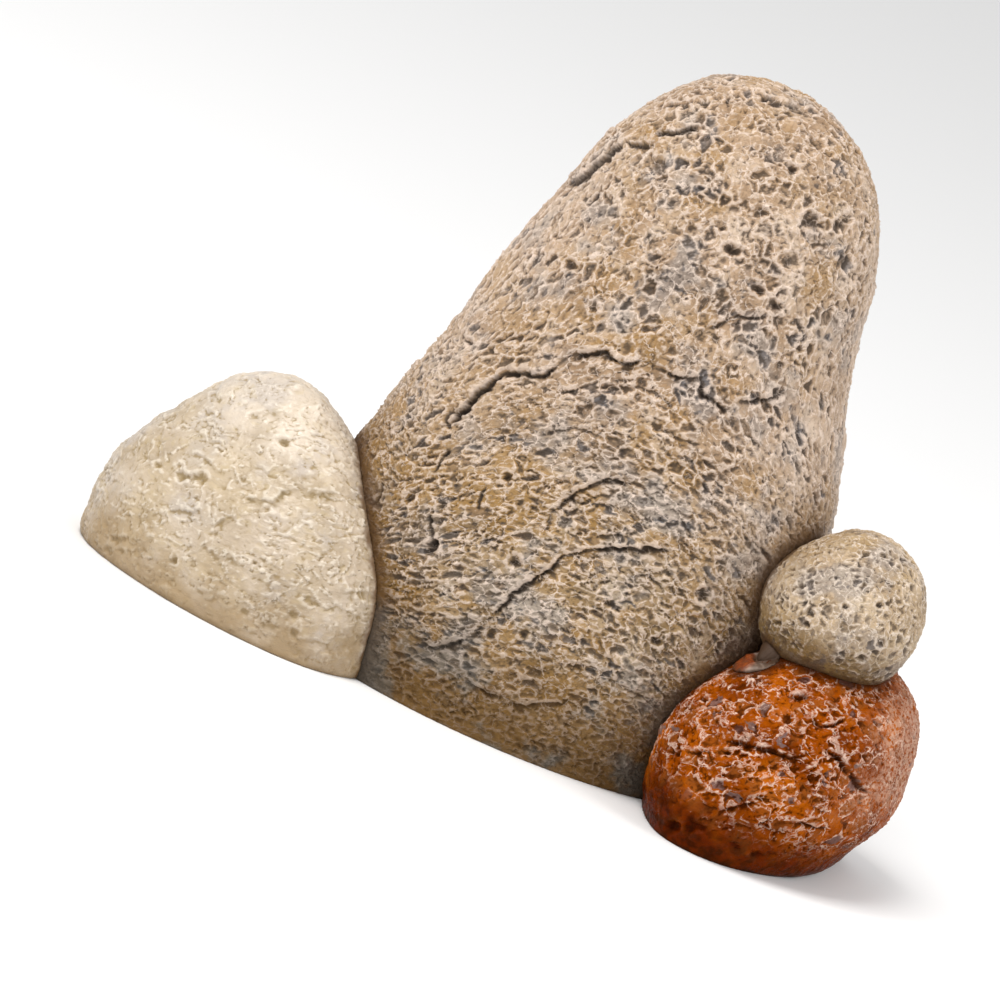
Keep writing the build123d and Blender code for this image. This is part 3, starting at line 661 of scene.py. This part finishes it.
# ---- rust stone
def build_rust():
    me = even_mesh("rust_rock", VOXEL)
    mm = positions(me) * 1000.0
    tilt = math.radians(20)
    u = mm[:, 0] * math.cos(tilt) + mm[:, 2] * math.sin(tilt)
    w = -mm[:, 0] * math.sin(tilt) + mm[:, 2] * math.cos(tilt)
    write_attr(me, "rc", np.stack([u * 0.85, mm[:, 1] * 0.95, w * 1.15], 1))
    me = with_fields(me, "rust", others("main_rock", "small_tan_rock", "mortar_web"))
    r = Relief(me, 0.02, 0.75)
    f = r.f
    x, y, z = r.mm.T
    body = smooth(z + 0.12 * x, 10.0, 17.0)
    r.h += 1.2 * (f["n0"] - 0.5) + 1.0 * (f["n1"] - 0.5) + 0.7 * (f["n2"] - 0.5) + 0.2 * (f["n3"] - 0.5)
    depth = (smooth(f["ca"][:, 0], 0.15, 0.9) * 0.4 + 0.05) * (0.15 + 0.85 * body)
    r.h -= depth * smooth(f["ea"], 0.0, 0.26)
    r.h += (0.34 * f["ta"] * smooth(f["ea"], 0.0, 0.1) + 0.3 * f["tb"] * smooth(f["eb"], 0.0, 0.12)) * (0.3 + 0.7 * body)
    r.terrace(f["s0"], 9.0, 0.5, smooth(f["s1"], 0.42, 0.58) * (0.3 + 0.7 * body), paint=0.6)
    r.terrace(f["s1"], 8.0, 0.35, smooth(f["s2"], 0.45, 0.6) * (0.3 + 0.7 * body), paint=0.5)
    hole = smooth(f["cd"][:, 1], 0.86, 0.9) * (1 - smooth(f["ed"], 0.05, 0.14))
    r.h -= 0.4 * hole
    r.crack = np.maximum(r.crack, 0.7 * hole)
    r.ledge([(934, 813), (947, 807), (962, 800), (977, 796)], lip=0.25, drop=0.9, cut=0.4, reach=7.0, fall=4.0, wide=0.3)
    r.ledge([(962, 789), (980, 782), (995, 781), (1010, 776), (1030, 775), (1043, 768)], lip=0.25, drop=1.0, cut=0.4, reach=7.0, fall=4.0, wide=0.3)
    r.ledge([(1060, 754), (1077, 756), (1090, 765), (1102, 770), (1112, 777), (1127, 777)], lip=0.25, drop=1.3, cut=0.5, reach=7.0, fall=4.5, wide=0.34)
    r.ledge([(985, 857), (997, 848), (1007, 840), (1018, 832)], lip=0.2, drop=0.7, cut=0.4, reach=2.5, fall=2.0, paint=0.7)
    r.ledge([(1058, 836), (1075, 832), (1097, 825)], lip=0.2, drop=0.6, cut=0.35, reach=2.0, fall=1.6, paint=0.8)
    r.ledge([(1000, 722), (1012, 716), (1024, 712)], lip=0.2, drop=0.6, cut=0.4, reach=1.6, fall=1.4, paint=0.8)
    r.ledge([(1035, 730), (1046, 735), (1056, 729), (1066, 716)], lip=0.2, drop=0.6, cut=0.4, reach=1.6, fall=1.4, paint=0.9)
    for x0, y0, rad, deep, sq in (
        (1012, 743, 1.8, 1.0, 0.7), (952, 890, 2.0, 1.1, 0.8), (967, 884, 1.6, 1.0, 1.3),
        (977, 879, 1.4, 0.8, 0.7), (1015, 882, 1.6, 0.6, 0.6), (1040, 882, 1.6, 0.8, 0.8),
        (928, 760, 1.4, 0.8, 0.5), (1020, 828, 1.4, 0.9, 0.8), (1112, 818, 1.6, 0.9, 1.4),
        (922, 820, 1.3, 0.8, 1.6),
    ):
        r.pit(x0, y0, rad, deep, sq, paint=0.6, rim=0.12, ring=0.05)
    base = z < 0.12
    free = np.where(base, 0.0, 1.0) * (0.4 + 0.6 * smooth(z, 0.0, 2.5))
    free *= smooth(f["near"], 0.15, 1.6) * (1 - 0.5 * smooth(x, 66.0, 78.0))
    r.finish(free)
    return finished_object("rust_stone", me, "rust_rock")


# ---- small tan stone
def build_small():
    me = even_mesh("small_tan_rock", VOXEL)
    mm = positions(me) * 1000.0
    write_attr(me, "rc", mm)
    me = with_fields(me, "small", others("main_rock", "rust_rock", "mortar_web"))
    r = Relief(me, 0.02)
    f = r.f
    r.h += 1.2 * (f["n0"] - 0.5) + 0.9 * (f["n1"] - 0.5) + 0.7 * (f["n2"] - 0.5) + 0.35 * (f["n3"] - 0.5)
    z = r.mm[:, 2]
    busy = (0.25 + 0.75 * smooth(f["s2"], 0.4, 0.54)) * smooth(z, 37.5, 43.0)
    depth = smooth(f["ca"][:, 0], 0.15, 0.95) * 0.55 + 0.05
    r.h -= depth * smooth(f["ea"], 0.0, 0.3) * busy
    r.h -= smooth(f["cb"][:, 0], 0.2, 1.0) * 0.26 * smooth(f["eb"], 0.02, 0.32) * (0.3 + 0.7 * busy)
    r.h += (0.2 * f["tb"] + 0.16 * f["ta"]) * (0.3 + 0.7 * busy)
    hole = smooth(f["cd"][:, 1], 0.54, 0.6) * busy * (1 - smooth(f["ed"], 0.08, 0.25))
    r.h -= 0.6 * hole
    r.crack = np.maximum(r.crack, 0.9 * hole)
    for x0, y0, rad, deep, sq in (
        (990, 638, 1.2, 1.0, 0.9), (992, 650, 1.0, 0.9, 0.9), (964, 661, 1.2, 0.9, 0.6),
        (971, 616, 1.0, 0.7, 0.8), (1056, 658, 1.2, 0.7, 0.7), (1068, 636, 1.2, 0.7, 1.1),
        (958, 638, 0.9, 0.8, 0.9), (1020, 618, 1.1, 0.7, 0.8), (1052, 602, 1.3, 0.7, 0.8),
    ):
        r.pit(x0, y0, rad, deep, sq, paint=0.9, rim=0.4)
    free = smooth(f["near"], 0.15, 1.6)
    r.finish(free, foot=False)
    return finished_object("small_stone", me, "small_tan_rock")


# ---- mortar
def build_web():
    me = even_mesh("mortar_web", VOXEL)
    mm = positions(me) * 1000.0
    write_attr(me, "rc", mm)
    me = with_fields(me, "web", others("main_rock", "rust_rock", "small_tan_rock"))
    r = Relief(me, 0.02)
    f = r.f
    r.h += 0.6 * (f["n1"] - 0.5) + 0.5 * (f["n2"] - 0.5) + 0.4 * (f["n3"] - 0.5)
    r.h -= 2.4 * smooth(f["near"], 0.3, 2.8)
    r.h -= 2.2 * smooth(r.mm[:, 2], 34.6, 37.6)
    r.finish(smooth(f["near"], 0.05, 0.8), foot=False)
    return finished_object("mortar_fillet", me, "mortar_web")


tall = build_main()
cream = build_cream()
rust = build_rust()
small = build_small()
web = build_web()


# ------------------------------------------------------------------ paint
def new_material(name):
    m = bpy.data.materials.new(name)
    m.use_nodes = True
    nt = m.node_tree
    nt.nodes.clear()
    g = Graph(nt)
    out = g.new("ShaderNodeOutputMaterial")
    p = g.new("ShaderNodeBsdfPrincipled")
    nt.links.new(p.outputs[0], out.inputs[0])
    return m, g, p


def cell_masks(g, pc, kind, key, wall=(0.02, 0.1)):
    """Wall mask and the cell's three random numbers."""
    e = g.cells(pc, CELLS[kind][key], "DISTANCE_TO_EDGE").outputs["Distance"]
    c = g.cells(pc, CELLS[kind][key]).outputs["Color"]
    return e, g.range(e, wall[0], wall[1], 1.0, 0.0), g.split(c)


# Darkens the colour along the joints with the neighbouring parts: partly the brown wash in the joint, partly
# painted shade between the parts.
def seam_wash_and_shade(g, colour, dark, near, reach=5.0, strength=0.85):
    d = g.add(near, g.mul(g.sub(g.attr("m2"), 0.5), 4.0))
    return g.mix(g.range(d, 0.2, reach, strength, 0.0), colour, dark)


def grain(g, size=0.8):
    return g.fac(g.attr("place", "FLOAT_VECTOR"), size, 3.0, 0.65)


def paint_tan(name, kind, tone):
    """The tan stones: warm tan with ochre and grey, pale walls round darker pits."""
    m, g, p = new_material(name)
    pc = g.attr("pc", "FLOAT_VECTOR")
    x, y, z = g.split(g.attr("place", "FLOAT_VECTOR"))
    wide, mid, small, grey, worn = (g.attr("m%d" % k) for k in range(5))
    fine = grain(g)
    cav, dip = g.attr("cav"), g.attr("dip")
    # darker colours low down: partly the stone's own ochre tone, partly painted shade where less light reaches
    low = g.range(z, tone["low"][0], tone["low"][1], 1.0, 0.0)
    colour = g.ramp(mid, (0.3, tone["dark"]), (0.5, tone["mid"]), (0.68, tone["light"]))
    below = g.ramp(mid, (0.3, tone["low_dark"]), (0.5, tone["low_mid"]), (0.68, tone["low_light"]))
    colour = g.mix(low, colour, below)
    above = g.sub(1.0, g.mul(low, tone["plain_below"]))
    flank = g.mul(g.range(x, 0.0, -34.0), low, 0.12)
    ochre = g.mul(
        g.range(g.add(wide, g.add(g.mul(low, 0.08), flank)), 0.43, 0.6),
        g.range(grey, 0.6, 0.46),
        g.range(small, 0.3, 0.56, 0.35, 1.0),
    )
    colour = g.mix(g.mul(ochre, tone["ochre_amount"]), colour, tone["ochre"])
    colour = g.mix(g.mul(g.range(grey, 0.5, 0.64), 0.55), colour, tone["wash"])
    side = g.mul(
        g.range(g.math("ABSOLUTE", g.sub(x, 6.0)), 14.0, 36.0), g.range(z, 34.0, 58.0)
    )
    colour = g.mix(g.mul(side, tone["dusted"]), colour, tone["rim"])
    colour = g.mix(g.mul(flank, 3.4), colour, tone["ochre"])
    # pits: some of them grey, some brown, most of them hardly darker than the rest
    ea, wall_a, (ra, rb, rc) = cell_masks(g, pc, kind, "a", (0.006, 0.05))
    eb, wall_b, (sa, sb, sc) = cell_masks(g, pc, kind, "b", (0.01, 0.09))
    pit = g.mix(g.range(rb, 0.56, 0.64), tone["pit_grey"], tone["pit_brown"])
    floor = g.mul(g.range(ea, 0.04, 0.22), g.range(ra, 0.35, 0.95))
    patch = g.range(g.add(grey, g.mul(low, 0.06)), 0.4, 0.56, 0.35, 1.0)
    colour = g.mix(g.mul(floor, patch, tone["pit_amount"]), colour, pit)
    small_pit = g.mul(g.range(eb, 0.06, 0.3), g.range(sa, 0.6, 0.95), patch)
    colour = g.mix(g.mul(small_pit, 0.6), colour, tone["pit_grey"])
    # recesses are darker, partly the dark wash in the hollows and partly painted shade, and high spots are brushed
    # pale
    colour = g.mix(g.range(cav, -0.15, -0.95, 0.0, 0.62), colour, tone["recess"])
    colour = g.mix(g.range(dip, -0.35, -1.0, 0.0, 0.35), colour, tone["recess"])
    brushed = g.range(g.add(cav, g.mul(g.sub(fine, 0.5), 1.3)), 0.15, 0.85)
    colour = g.mix(g.mul(brushed, tone["brushed"]), colour, tone["rim"])
    line = g.mul(g.range(worn, 0.36, 0.52), g.range(fine, 0.3, 0.54), above)
    colour = g.mix(g.mul(wall_a, line, tone["wall"]), colour, tone["rim"])
    line = g.mul(g.range(worn, 0.46, 0.58), g.range(fine, 0.4, 0.6), above)
    colour = g.mix(g.mul(wall_b, line, tone["wall"], 0.55), colour, tone["rim"])
    # speckle of dark pores
    colour = g.mix(g.range(g.add(fine, g.mul(cav, -0.06)), 0.6, 0.76, 0.0, 0.6), colour, tone["recess"])
    # ledges and cracks: pale edges, and dark cracks that are partly painted shade, with painted shadow just below
    # the ledges
    colour = g.mix(g.range(g.attr("rim"), 0.2, 0.9, 0.0, 0.6), colour, tone["rim"])
    colour = g.mix(g.range(g.attr("crack"), 0.15, 0.95, 0.0, 0.8), colour, tone["hole"])
    # darker near the neighbouring parts and along the joints: partly brown wash, partly painted shade
    near = g.attr("near")
    near_wash_and_shade = g.mul(g.range(near, 1.0, 14.0, 1.0, 0.0), g.range(mid, 0.3, 0.6))
    colour = g.mix(g.mul(near_wash_and_shade, 0.4), colour, tone["wash_and_shade"])
    colour = seam_wash_and_shade(g, colour, tone["seam"], near, reach=tone["reach"], strength=0.85)
    # darker near the ground: partly wash, partly painted shade where the stone meets the floor
    foot = g.range(g.add(z, g.mul(g.sub(mid, 0.5), 10.0)), 0.3, tone["foot"], 1.0, 0.0)
    colour = g.mix(g.mul(foot, 0.85), colour, g.mix(g.range(grey, 0.44, 0.56), tone["wash_and_shade"], tone["foot_grey"]))
    g.put(p.inputs["Base Color"], colour)
    g.put(p.inputs["Roughness"], g.range(g.add(small, g.mul(cav, 0.15)), 0.35, 0.7, 0.74, 0.54))
    p.inputs["Specular IOR Level"].default_value = 0.25
    b = g.new("ShaderNodeBump")
    g.put(b.inputs["Height"], g.add(g.mul(fine, 1.4), g.mul(wall_b, 0.4)))
    b.inputs["Distance"].default_value = 0.00026
    b.inputs["Strength"].default_value = 0.9
    g.put(p.inputs["Normal"], b.outputs[0])
    return m


TALL_TONE = dict(
    low=(34.0, 76.0),
    dark=srgb(148, 120, 92),
    mid=srgb(180, 151, 122),
    light=srgb(207, 184, 161),
    low_dark=srgb(130, 104, 66),
    low_mid=srgb(165, 139, 104),
    low_light=srgb(194, 173, 146),
    ochre=srgb(158, 120, 62),
    ochre_amount=0.8,
    wash=srgb(132, 129, 128),
    pit_grey=srgb(92, 94, 100),
    pit_brown=srgb(136, 110, 84),
    pit_amount=0.75,
    recess=srgb(80, 67, 56),
    rim=srgb(228, 208, 192),
    brushed=0.55,
    dusted=0.22,
    reach=4.4,
    plain_below=0.0,
    wall=0.85,
    hole=srgb(56, 45, 37),
    # brown for the darkening near the neighbours and the ground: partly wash, partly painted shade
    wash_and_shade=srgb(98, 68, 24),
    foot_grey=srgb(82, 75, 66),
    # dark brown along the joints: partly wash, partly painted shade
    seam=srgb(84, 56, 28),
    foot=30.0,
)
SMALL_TONE = dict(
    TALL_TONE,
    low=(41.0, 48.5),
    dark=srgb(160, 134, 102),
    mid=srgb(188, 163, 132),
    light=srgb(208, 186, 158),
    low_dark=srgb(92, 72, 40),
    low_mid=srgb(120, 97, 58),
    low_light=srgb(146, 122, 84),
    ochre=srgb(170, 138, 84),
    ochre_amount=0.5,
    wash=srgb(152, 144, 140),
    pit_grey=srgb(84, 82, 86),
    pit_brown=srgb(128, 106, 76),
    pit_amount=0.7,
    rim=srgb(228, 212, 196),
    reach=2.6,
    dusted=0.0,
    plain_below=0.9,
    foot=0.5,
)


def paint_cream():
    m, g, p = new_material("cream_stone_paint")
    pc = g.attr("pc", "FLOAT_VECTOR")
    place = g.attr("place", "FLOAT_VECTOR")
    x, y, z = g.split(place)
    wide, mid, small, grey, worn = (g.attr("m%d" % k) for k in range(5))
    fine = grain(g, 1.1)
    cav, dip = g.attr("cav"), g.attr("dip")
    colour = g.ramp(
        mid,
        (0.3, srgb(168, 149, 123)),
        (0.5, srgb(185, 167, 144)),
        (0.68, srgb(198, 182, 163)),
    )
    # painted light: the upper part is painted lighter, as if lit more strongly from above
    high = g.range(g.add(z, g.mul(g.sub(mid, 0.5), 16.0)), 24.0, 42.0)
    colour = g.mix(g.mul(high, 0.65), colour, srgb(226, 212, 194))
    colour = g.mix(g.mul(g.range(grey, 0.5, 0.64), 0.55), colour, srgb(186, 176, 168))
    colour = g.mix(g.mul(g.range(wide, 0.5, 0.64), 0.35), colour, srgb(200, 178, 140))
    eb, wall_b, (sa, sb, sc) = cell_masks(g, pc, "cream", "b", (0.01, 0.08))
    colour = g.mix(g.mul(g.range(sa, 0.5, 0.85), g.range(eb, 0.03, 0.3), 0.35), colour, srgb(190, 170, 132))
    # darker in recesses: partly wash in the hollows, partly painted shade
    colour = g.mix(g.range(cav, -0.15, -0.9, 0.0, 0.65), colour, srgb(142, 118, 72))
    colour = g.mix(g.range(dip, -0.3, -1.0, 0.0, 0.35), colour, srgb(160, 138, 94))
    brushed = g.range(g.add(cav, g.mul(g.sub(fine, 0.5), 0.5)), 0.1, 0.8)
    colour = g.mix(g.mul(brushed, 0.55), colour, srgb(230, 219, 202))
    f = g.cells(pc, 1.5)
    r1, r2, r3 = g.split(f.outputs["Color"])
    dots = g.mul(g.range(f.outputs["Distance"], 0.06, 0.16, 1.0, 0.0), g.range(r1, 0.93, 0.95))
    colour = g.mix(g.mul(dots, 0.8), colour, srgb(84, 66, 40))
    colour = g.mix(g.range(g.attr("rim"), 0.1, 0.7, 0.0, 0.5), colour, srgb(228, 218, 200))
    # dark cracks, partly painted shade, with painted shadow just below the ledges
    colour = g.mix(g.range(g.attr("crack"), 0.08, 0.8, 0.0, 0.8), colour, srgb(120, 98, 56))
    # darker low down: partly the stone's own tan base, partly painted shade near the ground
    foot = g.range(g.add(z, g.mul(g.sub(mid, 0.5), 20.0)), 1.0, 13.0, 1.0, 0.0)
    colour = g.mix(g.mul(foot, 0.75), colour, srgb(152, 126, 88))
    edge = g.range(g.add(z, g.mul(g.sub(small, 0.5), 2.0)), 0.1, 1.3, 1.0, 0.0)
    colour = g.mix(g.mul(edge, 0.5), colour, srgb(110, 84, 48))
    # painted shade and brown wash along the joint with the tall stone
    colour = seam_wash_and_shade(g, colour, srgb(96, 66, 34), g.attr("near"), reach=2.0)
    g.put(p.inputs["Base Color"], colour)
    g.put(p.inputs["Roughness"], g.range(small, 0.3, 0.7, 0.42, 0.26))
    p.inputs["Specular IOR Level"].default_value = 0.45
    b = g.new("ShaderNodeBump")
    streak = g.fac(g.vmath("MULTIPLY", place, (0.55, 0.55, 1.5)), 1.0, 3.0, 0.6)
    g.put(b.inputs["Height"], g.add(g.mul(streak, 1.5), g.mul(wall_b, 0.3)))
    b.inputs["Distance"].default_value = 0.0002
    b.inputs["Strength"].default_value = 0.6
    g.put(p.inputs["Normal"], b.outputs[0])
    return m


def paint_rust():
    m, g, p = new_material("rust_stone_paint")
    pc = g.attr("pc", "FLOAT_VECTOR")
    x, y, z = g.split(g.attr("place", "FLOAT_VECTOR"))
    wide, mid, small, grey, worn = (g.attr("m%d" % k) for k in range(5))
    fine = grain(g)
    cav, dip = g.attr("cav"), g.attr("dip")
    colour = g.ramp(
        mid,
        (0.3, srgb(104, 40, 0)),
        (0.5, srgb(150, 69, 0)),
        (0.68, srgb(182, 93, 8)),
    )
    ea, wall_a, (ra, rb, rc) = cell_masks(g, pc, "rust", "a", (0.006, 0.045))
    eb, wall_b, (sa, sb, sc) = cell_masks(g, pc, "rust", "b", (0.01, 0.09))
    upper = g.range(g.add(z, g.mul(x, 0.12)), 12.0, 20.0)
    # browner and greyer cells
    colour = g.mix(g.mul(g.range(rb, 0.5, 0.75), g.range(ea, 0.03, 0.15), 0.5), colour, srgb(136, 80, 36))
    flecks = g.mul(g.range(rc, 0.86, 0.9), g.range(g.add(ea, g.mul(g.sub(small, 0.5), 0.3)), 0.12, 0.2), upper)
    colour = g.mix(g.mul(flecks, 0.7), colour, srgb(112, 100, 100))
    # darker in recesses: partly wash in the hollows, partly painted shade
    colour = g.mix(g.range(cav, -0.2, -1.0, 0.0, 0.7), colour, srgb(70, 28, 0))
    colour = g.mix(g.range(dip, -0.35, -1.0, 0.0, 0.45), colour, srgb(76, 32, 4))
    pale = srgb(228, 198, 180)
    patch = g.range(worn, 0.4, 0.53)
    brushed = g.range(g.add(cav, g.mul(g.sub(fine, 0.5), 1.2)), 0.35, 1.0)
    colour = g.mix(g.mul(brushed, patch, g.range(upper, 0.0, 1.0, 0.1, 1.0), 0.5), colour, pale)
    line = g.mul(patch, upper, g.range(fine, 0.34, 0.56))
    colour = g.mix(g.mul(wall_a, line, 0.85), colour, pale)
    colour = g.mix(g.mul(wall_b, line, g.range(cav, -0.2, 0.4), 0.5), colour, pale)
    # pale dusting on the right shoulder
    dust = g.mul(
        g.range(g.add(x, g.mul(g.sub(mid, 0.5), 20.0)), 68.0, 80.0),
        g.range(z, 12.0, 26.0),
    )
    colour = g.mix(g.mul(dust, g.range(fine, 0.35, 0.6), 0.75), colour, srgb(208, 168, 144))
    # darker towards the ground
    under = g.range(g.add(z, g.mul(g.sub(mid, 0.5), 14.0)), 2.0, 16.0, 1.0, 0.0)
    colour = g.mix(g.mul(under, g.range(x, 50.0, 70.0, 0.9, 0.82)), colour, g.mix(g.range(small, 0.4, 0.6), srgb(44, 8, 0), srgb(84, 24, 0)))
    colour = g.mix(g.range(g.attr("rim"), 0.2, 0.85, 0.0, 0.7), colour, pale)
    # dark cracks, partly painted shade, with painted shadow just below the ledges
    colour = g.mix(g.range(g.attr("crack"), 0.2, 0.95, 0.0, 0.75), colour, srgb(58, 24, 6))
    edge = g.range(g.add(z, g.mul(g.sub(small, 0.5), 1.6)), 0.1, 0.9, 1.0, 0.0)
    colour = g.mix(g.mul(edge, 0.6), colour, srgb(50, 28, 14))
    # painted shade and brown wash along the joints with the neighbouring parts
    colour = seam_wash_and_shade(g, colour, srgb(66, 30, 10), g.attr("near"), reach=2.4)
    g.put(p.inputs["Base Color"], colour)
    g.put(p.inputs["Roughness"], g.range(g.add(small, g.mul(under, 0.1)), 0.35, 0.66, 0.46, 0.26))
    p.inputs["Specular IOR Level"].default_value = 0.02
    b = g.new("ShaderNodeBump")
    g.put(b.inputs["Height"], g.add(g.mul(fine, 1.5), g.mul(wall_b, upper, 0.35)))
    b.inputs["Distance"].default_value = 0.00028
    b.inputs["Strength"].default_value = 0.9
    g.put(p.inputs["Normal"], b.outputs[0])
    return m


def paint_web():
    m, g, p = new_material("mortar_paint")
    mid, small = g.attr("m1"), g.attr("m2")
    fine = grain(g)
    x, y, z = g.split(g.attr("place", "FLOAT_VECTOR"))
    colour = g.ramp(small, (0.35, srgb(126, 106, 92)), (0.6, srgb(172, 152, 138)))
    # the left end is painted like the rust stone and the upper end dark, as painted shade of the gap between the
    # stones, so the pale part looks smaller; the shape itself is unchanged
    over = g.range(g.add(x, g.mul(g.sub(small, 0.5), 3.0)), 44.2, 46.2, 1.0, 0.0)
    colour = g.mix(over, colour, g.mix(g.range(fine, 0.4, 0.6), srgb(112, 46, 4), srgb(150, 70, 10)))
    high = g.range(g.add(z, g.mul(g.sub(mid, 0.5), 2.0)), 35.6, 37.0)
    colour = g.mix(high, colour, srgb(66, 46, 28))
    # darker in the hollows and along the joints: painted shade
    colour = g.mix(g.range(g.attr("cav"), -0.1, -0.9, 0.0, 0.6), colour, srgb(70, 50, 34))
    colour = seam_wash_and_shade(g, colour, srgb(74, 50, 30), g.attr("near"), reach=1.6)
    g.put(p.inputs["Base Color"], colour)
    g.put(p.inputs["Roughness"], g.range(mid, 0.3, 0.7, 0.6, 0.45))
    b = g.new("ShaderNodeBump")
    g.put(b.inputs["Height"], fine)
    b.inputs["Distance"].default_value = 0.0002
    g.put(p.inputs["Normal"], b.outputs[0])
    return m


def wear(ob, material):
    ob.data.materials.clear()
    ob.data.materials.append(material)


wear(tall, paint_tan("tall_stone_paint", "main", TALL_TONE))
wear(small, paint_tan("small_stone_paint", "small", SMALL_TONE))
wear(cream, paint_cream())
wear(rust, paint_rust())
wear(web, paint_web())


# ------------------------------------------------------------------ compartment
def moulded(name, dark, light, rough, grain=0.25):
    m, g, p = new_material(name)
    pos = g.vmath("SCALE", g.new("ShaderNodeTexCoord").outputs["Object"], scale=1000.0)
    n = g.fac(pos, 9.0, 3.0)
    colour = g.mix(g.range(n, 0.3, 0.7), dark, light)
    dust = g.range(g.fac(pos, 2.5, 4.0, 0.65, offset=(9.0, 1.0, 4.0)), 0.55, 0.75)
    colour = g.mix(g.mul(dust, 0.18), colour, srgb(120, 108, 92))
    g.put(p.inputs["Base Color"], colour)
    g.put(p.inputs["Roughness"], g.range(n, 0.3, 0.7, rough[0], rough[1]))
    b = g.new("ShaderNodeBump")
    g.put(b.inputs["Height"], g.fac(pos, grain, 2.0, 0.6))
    b.inputs["Distance"].default_value = 0.00004
    b.inputs["Strength"].default_value = 0.5
    g.put(p.inputs["Normal"], b.outputs[0])
    return m


def metal(name, dark, light, rough, stretch):
    m, g, p = new_material(name)
    pos = g.vmath("SCALE", g.new("ShaderNodeTexCoord").outputs["Object"], scale=1000.0)
    pos = g.vmath("MULTIPLY", pos, stretch)
    n = g.fac(pos, 0.4, 4.0, 0.6)
    g.put(p.inputs["Base Color"], g.mix(n, dark, light))
    p.inputs["Metallic"].default_value = 1.0
    g.put(p.inputs["Roughness"], g.range(n, 0.3, 0.7, rough[0], rough[1]))
    b = g.new("ShaderNodeBump")
    g.put(b.inputs["Height"], n)
    b.inputs["Distance"].default_value = 0.00002
    b.inputs["Strength"].default_value = 0.4
    g.put(p.inputs["Normal"], b.outputs[0])
    return m


def foam(name):
    m, g, p = new_material(name)
    pos = g.vmath("SCALE", g.new("ShaderNodeTexCoord").outputs["Object"], scale=1000.0)
    f = g.cells(pos, 0.7)
    d = f.outputs["Distance"]
    g.put(p.inputs["Base Color"], g.mix(g.range(d, 0.1, 0.6), srgb(28, 28, 31), srgb(74, 74, 80)))
    g.put(p.inputs["Roughness"], g.range(d, 0.1, 0.6, 0.98, 0.85))
    b = g.new("ShaderNodeBump")
    g.put(b.inputs["Height"], d)
    b.inputs["Distance"].default_value = 0.00025
    g.put(p.inputs["Normal"], b.outputs[0])
    return m


black = moulded("black_plastic_look", srgb(22, 22, 24), srgb(34, 34, 36), (0.42, 0.58))
grey = moulded("grey_plastic_look", srgb(78, 78, 80), srgb(94, 94, 96), (0.4, 0.55))
rubber = moulded("rubber_look", srgb(20, 20, 20), srgb(36, 35, 34), (0.7, 0.9), 0.5)
steel = metal("steel_look", srgb(150, 150, 152), srgb(196, 196, 198), (0.22, 0.36), (0.08, 1.0, 1.0))
zinc = metal("zinc_look", srgb(158, 154, 140), srgb(205, 200, 186), (0.25, 0.4), (1.0, 1.0, 1.0))
wear(NODES["key_box"], black)
wear(NODES["latch_knob"], black)
wear(NODES["door"], grey)
wear(NODES["box_gasket"], rubber)
wear(NODES["door_seal"], rubber)
wear(NODES["hinge_pin"], steel)
wear(NODES["latch_cam"], steel)
wear(NODES["box_screws"], zinc)
wear(NODES["latch_screw"], zinc)
wear(NODES["foam_pad"], foam("foam_look"))

# ------------------------------------------------------------------ stage
def pale_floor():
    me = bpy.data.meshes.new("floor")
    s = 6.0
    me.from_pydata([(-s, -s, 0), (s, -s, 0), (s, s, 0), (-s, s, 0)], [], [(0, 1, 2, 3)])
    ob = bpy.data.objects.new("floor", me)
    bpy.context.scene.collection.objects.link(ob)
    m, g, p = new_material("floor_look")
    p.inputs["Base Color"].default_value = (0.9, 0.9, 0.9, 1)
    p.inputs["Roughness"].default_value = 0.9
    p.inputs["Specular IOR Level"].default_value = 0.1
    me.materials.append(m)
    ob.location = (0, 0, -0.00005)
    return ob


pale_floor()

world = bpy.data.worlds.new("studio")
bpy.context.scene.world = world
world.use_nodes = True
world.node_tree.nodes["Background"].inputs[0].default_value = (1.0, 1.0, 1.0, 1)
world.node_tree.nodes["Background"].inputs[1].default_value = 0.66


def area(name, loc, target, size, watts, colour=(1, 1, 1)):
    d = bpy.data.lights.new(name, "AREA")
    d.shape = "RECTANGLE"
    d.size, d.size_y = size
    d.energy = watts
    d.color = colour
    ob = bpy.data.objects.new(name, d)
    bpy.context.scene.collection.objects.link(ob)
    ob.location = loc
    ob.rotation_euler = (Vector(target) - Vector(loc)).to_track_quat("-Z", "Y").to_euler()
    return ob


area("key", (-0.4, -0.35, 1.1), (0, 0, 0.06), (0.5, 0.5), 9.0, (1.0, 0.985, 0.965))
area("right_fill", (1.0, -0.5, 0.8), (0, 0, 0.06), (0.5, 0.5), 4.6)
area("front_fill", (0.4, -1.3, 0.9), (0, 0, 0.05), (0.6, 0.5), 1.4, (0.97, 0.985, 1.0))
area("left_fill", (-1.1, -0.7, 0.5), (0, 0, 0.06), (0.5, 0.7), 2.2)

cam_data = bpy.data.cameras.new("camera")
cam_data.sensor_width = 36.0
cam_data.lens = 36.0 * DIST / 0.1925
cam_data.clip_start = 0.05
cam_data.clip_end = 20.0
cam = bpy.data.objects.new("camera", cam_data)
bpy.context.scene.collection.objects.link(cam)
r0, u0, f0 = Vector(RIGHT), Vector(UP), Vector(FORWARD)
right = r0 * math.cos(ROLL) + u0 * math.sin(ROLL)
up = -r0 * math.sin(ROLL) + u0 * math.cos(ROLL)
turn = Matrix(
    ((right.x, up.x, -f0.x), (right.y, up.y, -f0.y), (right.z, up.z, -f0.z))
)
cam.rotation_euler = turn.to_euler()
cam.location = Vector(TARGET) - f0 * DIST
bpy.context.scene.camera = cam
bpy.context.scene.view_settings.view_transform = "Standard"
bpy.context.scene.view_settings.look = "None"
